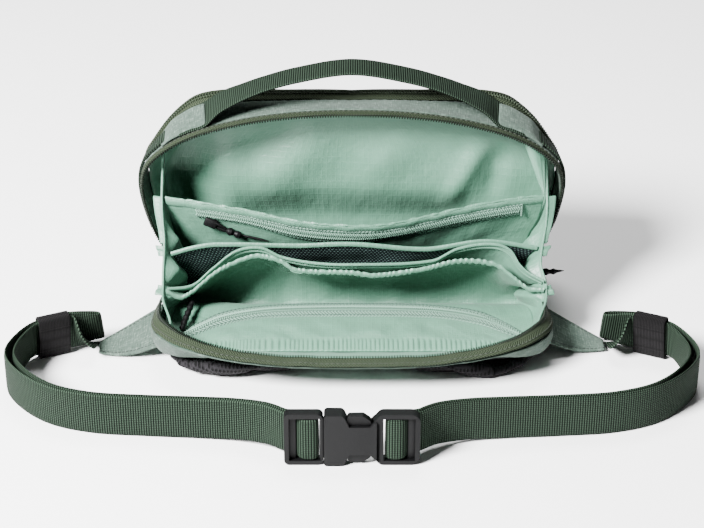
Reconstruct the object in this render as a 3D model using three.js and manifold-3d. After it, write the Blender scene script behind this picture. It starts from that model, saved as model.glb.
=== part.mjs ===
// Hip pack that stands open on a floor: the front half is upright, the back panel has fallen open as a
// flap, three dividers hang between the side gussets, and the belt lies in front in one fastened loop.
// Millimetres, +Z up, +X to the right for the viewer, -Y towards the wearer and the viewer.
// The origin is on the floor under the main zip's upper lip, in the middle of the bottom panel.

import * as THREE from 'three';
import { mergeVertices } from 'three/addons/utils/BufferGeometryUtils.js';
import Module from 'manifold-3d';

const wasm = await Module();
wasm.setup();

// Driving dimensions.
const GAP = 0.4;
const SHELL = 1.5;
const LINING = 1.0;
const TAPE = 1.2;
const TAPE_WIDTH = 8;
const WEBBING = 1.8;
const BELT_WIDTH = 25;
const HANDLE_WIDTH = 20;
const BOTTOM_FRONT_Y = 44;
const BOTTOM_BACK_Y = -25;
const STRIP_FRONT_Y = 18;
const FRONT_ZIP_Y = 30;
const FRONT_BULGE = 20;
const ZIP_END_Z = 37;
const FRONT_ZIP_END_Z = 84;
const FAR_WALL_Y = 14;
const BUCKLE_Y = -184.5;
const BUCKLE_HEIGHT = 31;
const BUCKLE_LENGTH = 72;

// Right half of the upright outline, from the bottom corner over the shoulder to the top middle.
const OUTLINE = [
  { x: 100, z: 1.5 },
  { x: 105.5, z: 8 },
  { x: 110, z: 28 },
  { x: 119.5, z: 47 },
  { x: 125, z: 66 },
  { x: 126.3, z: 80 },
  { x: 123.5, z: 91 },
  { x: 113.5, z: 101.5 },
  { x: 95, z: 111.8 },
  { x: 65, z: 120.3 },
  { x: 35, z: 124.6 },
];
const OUTLINE_TOP = 126;

// Right half of the flap's lip, from the zip end to the middle of the near edge.
const FLAP_LIP = [
  { x: 112, y: -27.8, z: 23.5 },
  { x: 115.5, y: -54, z: 27 },
  { x: 115, y: -79, z: 29 },
  { x: 105, y: -97, z: 28.5 },
  { x: 88, y: -109, z: 26.5 },
  { x: 55, y: -117, z: 23 },
];
const FLAP_LIP_NEAR = { y: -119, z: 21.5 };

// Height of the flap's panel, from the bottom seam over the fold to the near edge.
const FLAP_SECTION = [
  { y: -25, z: 3.5 },
  { y: -31, z: 10 },
  { y: -38, z: 14 },
  { y: -46, z: 14.5 },
  { y: -56, z: 12.5 },
  { y: -70, z: 10.5 },
  { y: -84, z: 10 },
  { y: -125, z: 10 },
];

const COLOURS = {
  heather: 0x7f9488,
  mint: 0x8fbfa5,
  olive: 0x6f7a5c,
  webbing: 0x3f5e46,
  black: 0x3a3a3a,
  mesh: 0x28262a,
};

const pack = new THREE.Group();

function addPiece(name, geometry, colour, roughness) {
  const material = new THREE.MeshStandardMaterial({ color: colour, roughness, metalness: 0 });
  const mesh = new THREE.Mesh(geometry, material);
  mesh.name = name;
  pack.add(mesh);
}

// Closed geometry from points and triangles: equal points are joined, triangles that closed up are
// dropped, and the faces are turned outwards.
function closedGeometry(points, triangles) {
  const places = new Map();
  const merged = points.map((point) => {
    const key = point.toArray().map((value) => value.toFixed(3)).join(',');
    if (!places.has(key)) {
      places.set(key, places.size);
    }
    return places.get(key);
  });
  const corners = [];
  points.forEach((point, index) => {
    corners[merged[index]] = point;
  });
  const kept = triangles
    .map((triangle) => triangle.map((index) => merged[index]))
    .filter(([a, b, c]) => a !== b && b !== c && c !== a);
  let volume = 0;
  for (const [a, b, c] of kept) {
    volume += corners[a].dot(new THREE.Vector3().crossVectors(corners[b], corners[c]));
  }
  const faces = volume < 0 ? kept.map(([a, b, c]) => [a, c, b]) : kept;
  const geometry = new THREE.BufferGeometry();
  geometry.setAttribute('position', new THREE.Float32BufferAttribute(corners.flatMap((p) => p.toArray()), 3));
  geometry.setIndex(faces.flat());
  return geometry;
}

// Cloth of one thickness along surface(u, v), with u and v from 0 to 1. A closed one meets itself in u.
function cloth(surface, columns, rows, thickness, options = {}) {
  const { closed = false, lift = 0 } = options;
  const step = 0.002;
  const clamp = (value) => THREE.MathUtils.clamp(value, 0, 1);
  const points = [];
  const normalAt = (u, v) => {
    const within = THREE.MathUtils.clamp(v, step, 1 - step);
    const left = surface(closed ? u - step : clamp(u - step), within);
    const right = surface(closed ? u + step : clamp(u + step), within);
    const across = right.sub(left);
    const along = surface(u, within + step).sub(surface(u, within - step));
    return across.cross(along).normalize();
  };
  for (const side of [lift + thickness / 2, lift - thickness / 2]) {
    for (let row = 0; row <= rows; row += 1) {
      for (let column = 0; column <= columns; column += 1) {
        const u = closed && column === columns ? 0 : column / columns;
        const v = row / rows;
        points.push(surface(u, v).addScaledVector(normalAt(u, v), side));
      }
    }
  }
  const sheet = (rows + 1) * (columns + 1);
  const at = (row, column, side) => side * sheet + row * (columns + 1) + column;
  const triangles = [];
  const quad = (a, b, c, d) => triangles.push([a, b, c], [a, c, d]);
  for (let row = 0; row < rows; row += 1) {
    for (let column = 0; column < columns; column += 1) {
      quad(at(row, column, 0), at(row, column + 1, 0), at(row + 1, column + 1, 0), at(row + 1, column, 0));
      quad(at(row, column, 1), at(row + 1, column, 1), at(row + 1, column + 1, 1), at(row, column + 1, 1));
    }
  }
  for (let column = 0; column < columns; column += 1) {
    quad(at(0, column + 1, 0), at(0, column, 0), at(0, column, 1), at(0, column + 1, 1));
    quad(at(rows, column, 0), at(rows, column + 1, 0), at(rows, column + 1, 1), at(rows, column, 1));
  }
  if (!closed) {
    for (let row = 0; row < rows; row += 1) {
      quad(at(row, 0, 0), at(row + 1, 0, 0), at(row + 1, 0, 1), at(row, 0, 1));
      quad(at(row + 1, columns, 0), at(row, columns, 0), at(row, columns, 1), at(row + 1, columns, 1));
    }
  }
  return closedGeometry(points, triangles);
}

// Webbing through stations of { place, across }, where across points along its width.
function webbing(stations, width, thickness) {
  const last = stations.length - 1;
  const points = [];
  stations.forEach(({ place, across }, index) => {
    const before = stations[Math.max(index - 1, 0)].place;
    const after = stations[Math.min(index + 1, last)].place;
    const ahead = after.clone().sub(before).normalize();
    const face = new THREE.Vector3().crossVectors(ahead, across).normalize();
    for (const [side, front] of [[1, 1], [1, -1], [-1, -1], [-1, 1]]) {
      const corner = place.clone().addScaledVector(across, (side * width) / 2);
      points.push(corner.addScaledVector(face, (front * thickness) / 2));
    }
  });
  const triangles = [[0, 2, 1], [0, 3, 2]];
  for (let index = 0; index < last; index += 1) {
    for (let corner = 0; corner < 4; corner += 1) {
      const next = (corner + 1) % 4;
      const [a, b] = [index * 4 + corner, index * 4 + next];
      triangles.push([a, b, b + 4], [a, b + 4, a + 4]);
    }
  }
  const end = last * 4;
  triangles.push([end, end + 1, end + 2], [end, end + 2, end + 3]);
  return closedGeometry(points, triangles);
}

// Solid for joining and cutting, from a geometry and back again.
function toSolid(geometry) {
  const bare = geometry.clone();
  bare.deleteAttribute('normal');
  bare.deleteAttribute('uv');
  const joined = mergeVertices(bare, 1e-4);
  const vertProperties = Float32Array.from(joined.attributes.position.array);
  const triVerts = Uint32Array.from(joined.index.array);
  return new wasm.Manifold(new wasm.Mesh({ numProp: 3, vertProperties, triVerts }));
}

function toGeometry(solid) {
  const mesh = solid.getMesh();
  const geometry = new THREE.BufferGeometry();
  geometry.setAttribute('position', new THREE.BufferAttribute(mesh.vertProperties, 3));
  geometry.setIndex(new THREE.BufferAttribute(mesh.triVerts, 1));
  return geometry;
}

function block(sizeX, sizeY, sizeZ, x, y, z) {
  return new THREE.BoxGeometry(sizeX, sizeY, sizeZ).translate(x, y, z);
}

const smooth = THREE.MathUtils.smoothstep;
const lerp = THREE.MathUtils.lerp;
const vec = (x, y, z) => new THREE.Vector3(x, y, z);

// Value of one column of a table, read on a smooth curve at a place along another column.
function readTable(rows, along, column, place) {
  const rising = rows[rows.length - 1][along] > rows[0][along];
  const order = rising ? rows : [...rows].reverse();
  const bounded = THREE.MathUtils.clamp(place, order[0][along], order[order.length - 1][along]);
  let index = 0;
  while (index < order.length - 2 && order[index + 1][along] < bounded) {
    index += 1;
  }
  const [a, b] = [order[index], order[index + 1]];
  const before = order[Math.max(index - 1, 0)];
  const after = order[Math.min(index + 2, order.length - 1)];
  const span = b[along] - a[along];
  const slopeA = ((b[column] - before[column]) / (b[along] - before[along])) * span;
  const slopeB = ((after[column] - a[column]) / (after[along] - a[along])) * span;
  const t = (bounded - a[along]) / span;
  const t2 = t * t;
  const t3 = t2 * t;
  return (2 * t3 - 3 * t2 + 1) * a[column] + (t3 - 2 * t2 + t) * slopeA
    + (3 * t2 - 2 * t3) * b[column] + (t3 - t2) * slopeB;
}

// The upright outline as one curve, from the left bottom corner over the top to the right one.
const hoop = new THREE.CatmullRomCurve3([
  ...OUTLINE.map(({ x, z }) => vec(-x, 0, z)),
  vec(0, 0, OUTLINE_TOP),
  ...[...OUTLINE].reverse().map(({ x, z }) => vec(x, 0, z)),
], false, 'centripetal');
hoop.arcLengthDivisions = 800;

function hoopOutward(t) {
  const ahead = hoop.getTangentAt(t);
  return vec(-ahead.z, 0, ahead.x);
}

function hoopPoint(t, outset) {
  return hoop.getPointAt(t).addScaledVector(hoopOutward(t), outset);
}

// Place along the left half of the outline that has a given height.
function hoopAtHeight(height) {
  let low = 0;
  let high = 0.5;
  for (let step = 0; step < 40; step += 1) {
    const middle = (low + high) / 2;
    if (hoop.getPointAt(middle).z < height) {
      low = middle;
    } else {
      high = middle;
    }
  }
  return low;
}

// The upright shell dips a little at the seam between the top strip and the front pocket's zip.
const CROWN = [
  { y: -30, out: 0 },
  { y: 0, out: 0 },
  { y: 9, out: -1 },
  { y: 18, out: -1.8 },
  { y: 24, out: -0.6 },
  { y: 30, out: -0.4 },
  { y: 46, out: -4 },
];

// The front pocket's two top corners stand up squarer than the lip, by this much from the middle outwards.
const SHOULDER = [
  { x: 0, out: 1 },
  { x: 40, out: 3.3 },
  { x: 62, out: 7 },
  { x: 78, out: 10 },
  { x: 90, out: 10.8 },
  { x: 100, out: 8 },
  { x: 108, out: 5 },
  { x: 115, out: 2 },
  { x: 122, out: 0 },
  { x: 130, out: 0 },
];

function crown(y, place) {
  const nearTop = smooth(place.z, 86, 100);
  const shoulder = readTable(SHOULDER, 'x', 'out', Math.abs(place.x)) * smooth(y, 0, 27) * nearTop;
  return readTable(CROWN, 'y', 'out', y) * smooth(place.z, 5, 60) + shoulder;
}

function shellPoint(t, y, depth) {
  return hoopPoint(t, crown(y, hoop.getPointAt(t)) - depth).setY(y);
}

// Top strip between the two zips, and the zip strip of the front pocket.
const stripEnd = hoopAtHeight(ZIP_END_Z + 1.8);
const stripPlace = (u) => lerp(stripEnd, 1 - stripEnd, u);
addPiece('top_strip', cloth((u, v) => {
  const y = lerp(GAP, STRIP_FRONT_Y - GAP, v);
  return shellPoint(stripPlace(u), y, SHELL / 2);
}, 44, 2, SHELL), COLOURS.heather, 0.9);

const frontZipEnd = hoopAtHeight(FRONT_ZIP_END_Z);
addPiece('front_zip', cloth((u, v) => {
  const y = lerp(STRIP_FRONT_Y + GAP, FRONT_ZIP_Y - GAP, v);
  return shellPoint(lerp(frontZipEnd, 1 - frontZipEnd, u), y, TAPE / 2);
}, 36, 2, TAPE), COLOURS.olive, 0.85);

// Front panel: a bulged panel whose rim follows the front pocket's zip and then the bottom seam.
const FRONT_PANEL_Y = FRONT_ZIP_Y + FRONT_BULGE + 5;
const FRONT_PANEL_MIDDLE_Z = 60;
const BOTTOM_SHARE = 0.22;

function rimY(z) {
  return lerp(BOTTOM_FRONT_Y + 1.4, FRONT_ZIP_Y + 0.8, smooth(z, 5, FRONT_ZIP_END_Z));
}

function rimPoint(u) {
  const round = ((u % 1) + 1) % 1;
  const rimInset = 1.5;
  if (round < 1 - BOTTOM_SHARE) {
    const t = round / (1 - BOTTOM_SHARE);
    const height = hoop.getPointAt(t).z;
    return shellPoint(t, rimY(height), rimInset);
  }
  const share = (round - 1 + BOTTOM_SHARE) / BOTTOM_SHARE;
  return shellPoint(1, rimY(0), rimInset).lerp(shellPoint(0, rimY(0), rimInset), share);
}

addPiece('front_panel', cloth((u, v) => {
  const rim = rimPoint(u);
  const middle = vec(0, FRONT_PANEL_Y, FRONT_PANEL_MIDDLE_Z);
  const place = middle.clone().lerp(rim, v);
  return place.setY(lerp(FRONT_PANEL_Y, rim.y, v ** 2.6));
}, 40, 5, SHELL, { closed: true }), COLOURS.heather, 0.9);

// Lower sides. Each runs back to the flap's fold below the zip end, and only to the top strip above it.
const SIDE_HEIGHTS = [2.2, 8, 15, 21, 26, 31, 35, 37, 38.2, 46, 56, 66, 76, FRONT_ZIP_END_Z - 0.8];

function sideBackY(z) {
  const alongFold = lerp(BOTTOM_BACK_Y - 1, -1, smooth(z, 20, 37));
  return lerp(alongFold, STRIP_FRONT_Y + GAP, smooth(z, 37, 38.2));
}

function sidePoint(u, v, mirror) {
  const last = SIDE_HEIGHTS.length - 1;
  const index = Math.min(Math.floor(u * last), last - 1);
  const height = lerp(SIDE_HEIGHTS[index], SIDE_HEIGHTS[index + 1], u * last - index);
  const y = lerp(sideBackY(height), rimY(height) - 1.8, v);
  const place = shellPoint(hoopAtHeight(height), y, SHELL / 2);
  return place.setX(place.x * mirror);
}

for (const [side, mirror] of [['left', 1], ['right', -1]]) {
  addPiece(`side_panel_${side}`, cloth((u, v) => sidePoint(u, v, mirror), SIDE_HEIGHTS.length - 1, 4, SHELL),
    COLOURS.heather, 0.9);
}

// Flat pieces are drawn in plan, x to the right and y away, and pushed up from a height.
function plate(shape, z, thickness, bevel = 0) {
  return new THREE.ExtrudeGeometry(shape, {
    depth: thickness - 2 * bevel,
    bevelEnabled: bevel > 0,
    bevelThickness: bevel,
    bevelSize: bevel,
    bevelOffset: -bevel,
    bevelSegments: 2,
    curveSegments: 5,
  }).translate(0, 0, z + bevel);
}

function roundedShape(left, right, near, far, radius) {
  const shape = new THREE.Shape();
  shape.moveTo(left + radius, near);
  shape.lineTo(right - radius, near);
  shape.absarc(right - radius, near + radius, radius, -Math.PI / 2, 0);
  shape.lineTo(right, far - radius);
  shape.absarc(right - radius, far - radius, radius, 0, Math.PI / 2);
  shape.lineTo(left + radius, far);
  shape.absarc(left + radius, far - radius, radius, Math.PI / 2, Math.PI);
  shape.lineTo(left, near + radius);
  shape.absarc(left + radius, near + radius, radius, Math.PI, 1.5 * Math.PI);
  return shape;
}

const bottomHalf = OUTLINE[0].x - 1.5;
addPiece('bottom_panel',
  plate(roundedShape(-bottomHalf, bottomHalf, BOTTOM_BACK_Y + 1, BOTTOM_FRONT_Y, 8), 0, SHELL),
  COLOURS.heather, 0.9);

// Lining between the main compartment and the front pocket, a flat wall inside the upright outline.
const wallInset = 3.6;
const wallShape = new THREE.Shape();
for (let step = 0; step <= 48; step += 1) {
  const corner = hoopPoint(step / 48, -wallInset);
  if (step === 0) {
    wallShape.moveTo(corner.x, corner.z);
  } else {
    wallShape.lineTo(corner.x, corner.z);
  }
}
addPiece('far_wall', plate(wallShape, 0, LINING).rotateX(Math.PI / 2).translate(0, FAR_WALL_Y + LINING, 0),
  COLOURS.mint, 0.6);

// Flap: the panel with its lining, the strip that stands round it, and the mesh pads under it.
const lip = new THREE.CatmullRomCurve3([
  ...FLAP_LIP.map(({ x, y, z }) => vec(-x, y, z)),
  vec(0, FLAP_LIP_NEAR.y, FLAP_LIP_NEAR.z),
  ...[...FLAP_LIP].reverse().map(({ x, y, z }) => vec(x, y, z)),
], false, 'centripetal');
lip.arcLengthDivisions = 600;

function lipInward(t) {
  const ahead = lip.getTangentAt(t);
  return vec(-ahead.y, ahead.x, 0).normalize();
}

// How far the strip's foot is tucked in under the flap, from the sides to the middle of the near edge.
const STRIP_BOTTOM_Z = 9;
const STRIP_TUCK = [
  { y: -27, tuck: 2.5 },
  { y: -60, tuck: 2.5 },
  { y: -79, tuck: 3 },
  { y: -97, tuck: 6 },
  { y: -109, tuck: 12 },
  { y: -117, tuck: 22 },
  { y: -119.1, tuck: 24 },
];

addPiece('back_strip', cloth((u, v) => {
  const place = lip.getPointAt(u);
  const tuck = readTable(STRIP_TUCK, 'y', 'tuck', place.y);
  const inset = SHELL / 2 + tuck * v - 1.5 * Math.sin(Math.PI * v);
  const height = lerp(place.z - TAPE - GAP, STRIP_BOTTOM_Z, v);
  return place.addScaledVector(lipInward(u), inset).setZ(height);
}, 40, 2, SHELL), COLOURS.heather, 0.9);

// Near edge of the flap's panel, inside the foot of the strip.
const FLAP_EDGE = [
  { x: 0, y: -93 },
  { x: 50, y: -92.8 },
  { x: 80, y: -91.5 },
  { x: 97, y: -86.5 },
  { x: 109, y: -75 },
];
const FLAP_HALF = [
  { y: -25, half: 98 },
  { y: -40, half: 106 },
  { y: -55, half: 109 },
  { y: -110, half: 109 },
];

function flapEdge(share) {
  return readTable(FLAP_EDGE, 'x', 'y', Math.abs(share) * FLAP_EDGE[FLAP_EDGE.length - 1].x);
}

function flapAt(share, y) {
  return vec(share * readTable(FLAP_HALF, 'y', 'half', y), y, readTable(FLAP_SECTION, 'y', 'z', y));
}

function flapPoint(u, v) {
  const share = 2 * u - 1;
  return flapAt(share, lerp(FLAP_SECTION[0].y, flapEdge(share), v));
}

const BACK_PANEL = 2;
addPiece('back_panel', cloth((u, v) => flapPoint(u, v), 12, 10, BACK_PANEL), COLOURS.mesh, 0.95);
const liningLift = BACK_PANEL / 2 + 2 * GAP + LINING / 2;
addPiece('back_lining', cloth((u, v) => flapPoint(lerp(0.01, 0.99, u), lerp(0.02, 0.99, v)), 12, 10, LINING,
  { lift: -liningLift }), COLOURS.mint, 0.6);

// Zip pocket on the flap's lining: an arched far edge, and a near edge gathered into a band.
const POCKET_EDGE = [
  { share: 0, y: -50 },
  { share: 0.45, y: -51.5 },
  { share: 0.8, y: -63 },
  { share: 0.92, y: -70 },
];
const POCKET_LIFT = liningLift + LINING + GAP;
const POCKET_SWELL = 2.5;
addPiece('back_pocket', cloth((u, v) => {
  const share = lerp(-0.92, 0.92, u);
  const farY = readTable(POCKET_EDGE, 'share', 'y', Math.abs(share));
  const place = flapAt(share, lerp(farY, flapEdge(share) * 0.92, v));
  place.z += POCKET_LIFT + POCKET_SWELL * Math.sin(Math.PI * v) * (1 - share * share);
  return place;
}, 16, 4, LINING), COLOURS.mint, 0.65);

// Air mesh pads under the flap, which lie on the floor.
const PAD_TOP = 8.4;
const PAD_EDGE = 3;
for (const [side, mirror] of [['left', -1], ['right', 1]]) {
  const shape = new THREE.Shape();
  shape.moveTo(mirror * 16, -46);
  shape.lineTo(mirror * 94, -46);
  shape.quadraticCurveTo(mirror * 106, -46, mirror * 106, -58);
  shape.quadraticCurveTo(mirror * 106, -76, mirror * 90, -86);
  shape.quadraticCurveTo(mirror * 74, -96.5, mirror * 50, -93.5);
  shape.quadraticCurveTo(mirror * 16, -89, mirror * 16, -80);
  shape.closePath();
  addPiece(`back_pad_${side}`, plate(shape, 0, PAD_TOP, PAD_EDGE), COLOURS.mesh, 0.95);
}

// Tapes of the open main zip: one stands forward from the upright lip, one lies round the flap.
const tapeSteps = 44;
const UPPER_TAPE_LEAN = THREE.MathUtils.degToRad(10);
const upperTape = [];
const lowerTape = [];
for (let step = 0; step <= tapeSteps; step += 1) {
  const t = stripPlace(step / tapeSteps);
  const across = hoopOutward(t).multiplyScalar(Math.sin(UPPER_TAPE_LEAN)).setY(Math.cos(UPPER_TAPE_LEAN));
  const place = hoopPoint(t, -TAPE / 2).addScaledVector(across, -TAPE_WIDTH / 2 - GAP / 2);
  upperTape.push({ place, across });
  const lipT = step / tapeSteps;
  const inward = lipInward(lipT);
  lowerTape.push({ place: lip.getPointAt(lipT).addScaledVector(inward, TAPE_WIDTH / 2), across: inward });
}
addPiece('main_zip_upper', webbing(upperTape, TAPE_WIDTH, TAPE), COLOURS.olive, 0.85);
addPiece('main_zip_lower', webbing(lowerTape, TAPE_WIDTH, TAPE), COLOURS.olive, 0.85);

// Side gussets of lining, whose taut upper edge holds the flap.
const GUSSET = [
  { y: 13, bottom: 5, top: 92 },
  { y: 4, bottom: 5, top: 86.5 },
  { y: -19, bottom: 6.5, top: 65 },
  { y: -28, bottom: 18, top: 56 },
  { y: -40, bottom: 27.8, top: 44 },
  { y: -50, bottom: 28.8, top: 34.5 },
  { y: -56, bottom: 29.4, top: 31.5 },
];

// Distance of a gusset from the middle. The right one is pulled further out than the left one.
const RIGHT_PULL = 3;

function gussetX(y, z, mirror) {
  const pull = mirror > 0 ? RIGHT_PULL * Math.max(smooth(z, 42, 62), smooth(-y, 39, 50)) : 0;
  return 99 + 14 * smooth(z, 0, 75) + 6 * smooth(-y, 25, 55) + pull;
}

for (const [side, mirror] of [['left', -1], ['right', 1]]) {
  addPiece(`gusset_${side}`, cloth((u, v) => {
    const y = lerp(GUSSET[0].y, GUSSET[GUSSET.length - 1].y, u);
    const z = lerp(readTable(GUSSET, 'y', 'bottom', y), readTable(GUSSET, 'y', 'top', y), v);
    return vec(mirror * gussetX(y, z, mirror), y, z);
  }, 10, 4, LINING), COLOURS.mint, 0.6);
}

// Dividers. Each row is a place on the upper edge: share of the half width, then depth and height.
const DIVIDERS = {
  zip_divider: {
    colour: COLOURS.mint,
    foot: { y: 6, z: 6 },
    edge: [
      { share: -1, y: -10, z: 73.5 },
      { share: -0.79, y: -15, z: 72 },
      { share: -0.55, y: -20, z: 69.5 },
      { share: -0.28, y: -25.5, z: 65 },
      { share: 0, y: -28, z: 63.5 },
      { share: 0.2, y: -25.5, z: 63.5 },
      { share: 0.41, y: -20, z: 66.5 },
      { share: 0.62, y: -15, z: 70 },
      { share: 0.89, y: -11, z: 74 },
      { share: 1, y: -10, z: 74.5 },
    ],
  },
  mesh_divider: {
    colour: COLOURS.mesh,
    foot: { y: 0.5, z: 6 },
    edge: [
      { share: -1, y: -31, z: 46.5 },
      { share: -0.87, y: -31, z: 50.5 },
      { share: -0.74, y: -30.5, z: 52.5 },
      { share: -0.3, y: -31, z: 52 },
      { share: 0, y: -32, z: 53.5 },
      { share: 0.4, y: -31.5, z: 50 },
      { share: 0.7, y: -30.5, z: 54.5 },
      { share: 1, y: -31, z: 50.5 },
    ],
  },
  organizer_panel: {
    colour: COLOURS.mint,
    foot: { y: -6, z: 7 },
    edge: [
      { share: -1, y: -50, z: 33 },
      { share: -0.87, y: -46, z: 33.5 },
      { share: -0.76, y: -41, z: 41.5 },
      { share: -0.62, y: -36, z: 51 },
      { share: -0.49, y: -35, z: 52.5 },
      { share: -0.38, y: -37, z: 47.5 },
      { share: -0.2, y: -40, z: 45 },
      { share: 0, y: -42, z: 45 },
      { share: 0.43, y: -39, z: 46 },
      { share: 0.56, y: -36, z: 52.5 },
      { share: 0.73, y: -35, z: 55 },
      { share: 0.84, y: -37, z: 51.5 },
      { share: 0.92, y: -44, z: 42 },
      { share: 1, y: -49, z: 37.5 },
    ],
  },
  slip_pocket: {
    colour: COLOURS.mint,
    foot: { y: -46, z: 18.4 },
    hollow: 12,
    taper: 9,
    edge: [
      { share: -1, y: -53, z: 33 },
      { share: -0.92, y: -52.5, z: 29 },
      { share: -0.71, y: -46, z: 43 },
      { share: -0.57, y: -42.5, z: 49 },
      { share: -0.49, y: -41.5, z: 50.5 },
      { share: -0.38, y: -43, z: 48 },
      { share: -0.3, y: -45, z: 43 },
      { share: 0, y: -46.5, z: 42 },
      { share: 0.12, y: -47, z: 40.5 },
      { share: 0.37, y: -45, z: 43.5 },
      { share: 0.56, y: -42.5, z: 47.5 },
      { share: 0.76, y: -43, z: 45.5 },
      { share: 0.84, y: -47, z: 39.5 },
      { share: 0.92, y: -51, z: 34 },
      { share: 1, y: -53, z: 34 },
    ],
  },
};

// A hollow divider bends away from the viewer above its foot, and a tapered one has a narrower foot.
function dividerPoint({ foot, edge, hollow = 0, taper = 0 }, u, v) {
  const share = 2 * u - 1;
  const bend = hollow * (1 - share ** 4) * Math.sin(Math.PI * v);
  const y = lerp(readTable(edge, 'share', 'y', share), foot.y, v) + bend;
  const z = lerp(readTable(edge, 'share', 'z', share), foot.z, v);
  return vec(share * (gussetX(y, z, Math.sign(share)) - 2 * LINING - taper * v), y, z);
}

for (const [name, divider] of Object.entries(DIVIDERS)) {
  addPiece(name, cloth((u, v) => dividerPoint(divider, u, v), 26, divider.hollow ? 5 : 3, LINING),
    divider.colour, 0.65);
}

// Handle: webbing that arches over the top strip, with its ends sewn down under two patches.
const HANDLE_Y = 9;
const HANDLE_ARCH = [
  { x: 78, z: 126.4, rise: 0.22 },
  { x: 66, z: 132.4, rise: 0.08 },
  { x: 51, z: 138.4, rise: 0 },
  { x: 32, z: 143.8, rise: 0 },
];
const HANDLE_TOP = 148.4;
const HANDLE_LIFT = 3.4;
const HANDLE_END_HEIGHTS = [107.5, 110.5, 113.5];

// Place over the left half of the shell, at a height on its outline.
function overShell(height, y, lift) {
  return shellPoint(hoopAtHeight(height), y, -lift);
}

function handleSlope(height) {
  const near = overShell(height, HANDLE_Y - HANDLE_WIDTH / 2, 0);
  return overShell(height, HANDLE_Y + HANDLE_WIDTH / 2, 0).sub(near).normalize();
}

const handleEnd = HANDLE_END_HEIGHTS.map((height) => (
  { place: overShell(height, HANDLE_Y, HANDLE_LIFT), across: handleSlope(height) }
));
const handleArch = HANDLE_ARCH.map(({ x, z, rise }) => (
  { place: vec(-x, HANDLE_Y, z), across: vec(0, 1, rise).normalize() }
));
const handleTop = { place: vec(0, HANDLE_Y, HANDLE_TOP), across: vec(0, 1, 0) };
const handleLeft = [...handleEnd, ...handleArch];
const handleRight = [...handleLeft].reverse().map(({ place, across }) => (
  { place: vec(-place.x, place.y, place.z), across: vec(-across.x, across.y, across.z) }
));
const handleRows = [...handleLeft, handleTop, ...handleRight];
const handleCurve = new THREE.CatmullRomCurve3(handleRows.map(({ place }) => place), false, 'centripetal');
const handleTurn = new THREE.CatmullRomCurve3(handleRows.map(({ across }) => across), false, 'catmullrom');
const handleStations = [];
const handleSteps = 42;
for (let step = 0; step <= handleSteps; step += 1) {
  const t = step / handleSteps;
  handleStations.push({ place: handleCurve.getPoint(t), across: handleTurn.getPoint(t).normalize() });
}
addPiece('handle', webbing(handleStations, HANDLE_WIDTH, WEBBING), COLOURS.webbing, 0.8);

const PATCH = { upper: 114, lower: 103.5, margin: 1, thickness: 1.2 };
const patchLift = HANDLE_LIFT + WEBBING / 2 + GAP + PATCH.thickness / 2 + 0.2;
const patchFoot = GAP + PATCH.thickness / 2 + 0.6;
const SIDE_STRAP = { upper: 102.3, lower: 48, width: 14, middleY: 10, lift: 2.4 };
for (const [side, mirror] of [['left', 1], ['right', -1]]) {
  const halfWidth = HANDLE_WIDTH / 2 + PATCH.margin;
  addPiece(`handle_patch_${side}`, cloth((u, v) => {
    const height = lerp(PATCH.upper, PATCH.lower, u);
    const lift = lerp(patchLift, patchFoot, smooth(u, 0.7, 0.98));
    const middle = overShell(height, HANDLE_Y, lift);
    const place = middle.addScaledVector(handleSlope(height), lerp(-halfWidth, halfWidth - 2, v));
    return vec(mirror * place.x, place.y, place.z);
  }, 8, 1, PATCH.thickness), COLOURS.heather, 0.9);
  const stations = [];
  for (let step = 0; step <= 12; step += 1) {
    const height = lerp(SIDE_STRAP.upper, SIDE_STRAP.lower, step / 12);
    const place = overShell(height, SIDE_STRAP.middleY, SIDE_STRAP.lift);
    const slope = handleSlope(height);
    const across = vec(mirror * slope.x, slope.y, slope.z);
    stations.push({ place: vec(mirror * place.x, place.y, place.z), across });
  }
  addPiece(`side_strap_${side}`, webbing(stations, SIDE_STRAP.width, WEBBING), COLOURS.webbing, 0.8);
}

// Belt. The outer layer of each side's loop is its free tail: a row for each place from the buckle round
// to the keeper, with the height of its lower edge, the room to the inner layer, which goes to the wing, and
// the angle by which its upper edge leans in.
const KEEPER_LIFT = 2.1;
const BELT_LOOP = [
  { x: 36.5, y: BUCKLE_Y + 5.9, lift: 3, room: 3.4, lean: 0 },
  { x: 46, y: -172, lift: 3, room: 3.2, lean: 0 },
  { x: 62, y: -165.5, lift: 1.6, room: 3, lean: 0 },
  { x: 84, y: -161.8, lift: 0.5, room: 3, lean: 0 },
  { x: 112, y: -159.2, lift: 0, room: 3, lean: 0 },
  { x: 142, y: -155.8, lift: 0, room: 3, lean: 0 },
  { x: 165, y: -147.2, lift: 0, room: 3.4, lean: 0 },
  { x: 182, y: -132.5, lift: 0, room: 4.2, lean: 0 },
  { x: 193, y: -115, lift: 0, room: 4.8, lean: 0 },
  { x: 195, y: -103, lift: 0, room: 4.8, lean: 0 },
  { x: 192, y: -88, lift: 0.8, room: 3.8, lean: 6 },
  { x: 184.6, y: -75.6, lift: KEEPER_LIFT, room: 2.6, lean: 12 },
  { x: 174, y: -70.4, lift: KEEPER_LIFT, room: 2.6, lean: 12 },
  { x: 163.4, y: -65.2, lift: KEEPER_LIFT, room: 2.6, lean: 12 },
];
const KEEPER = { length: 19, wall: 0.9, room: 6.2, height: 27.8, lean: 12 };

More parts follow.
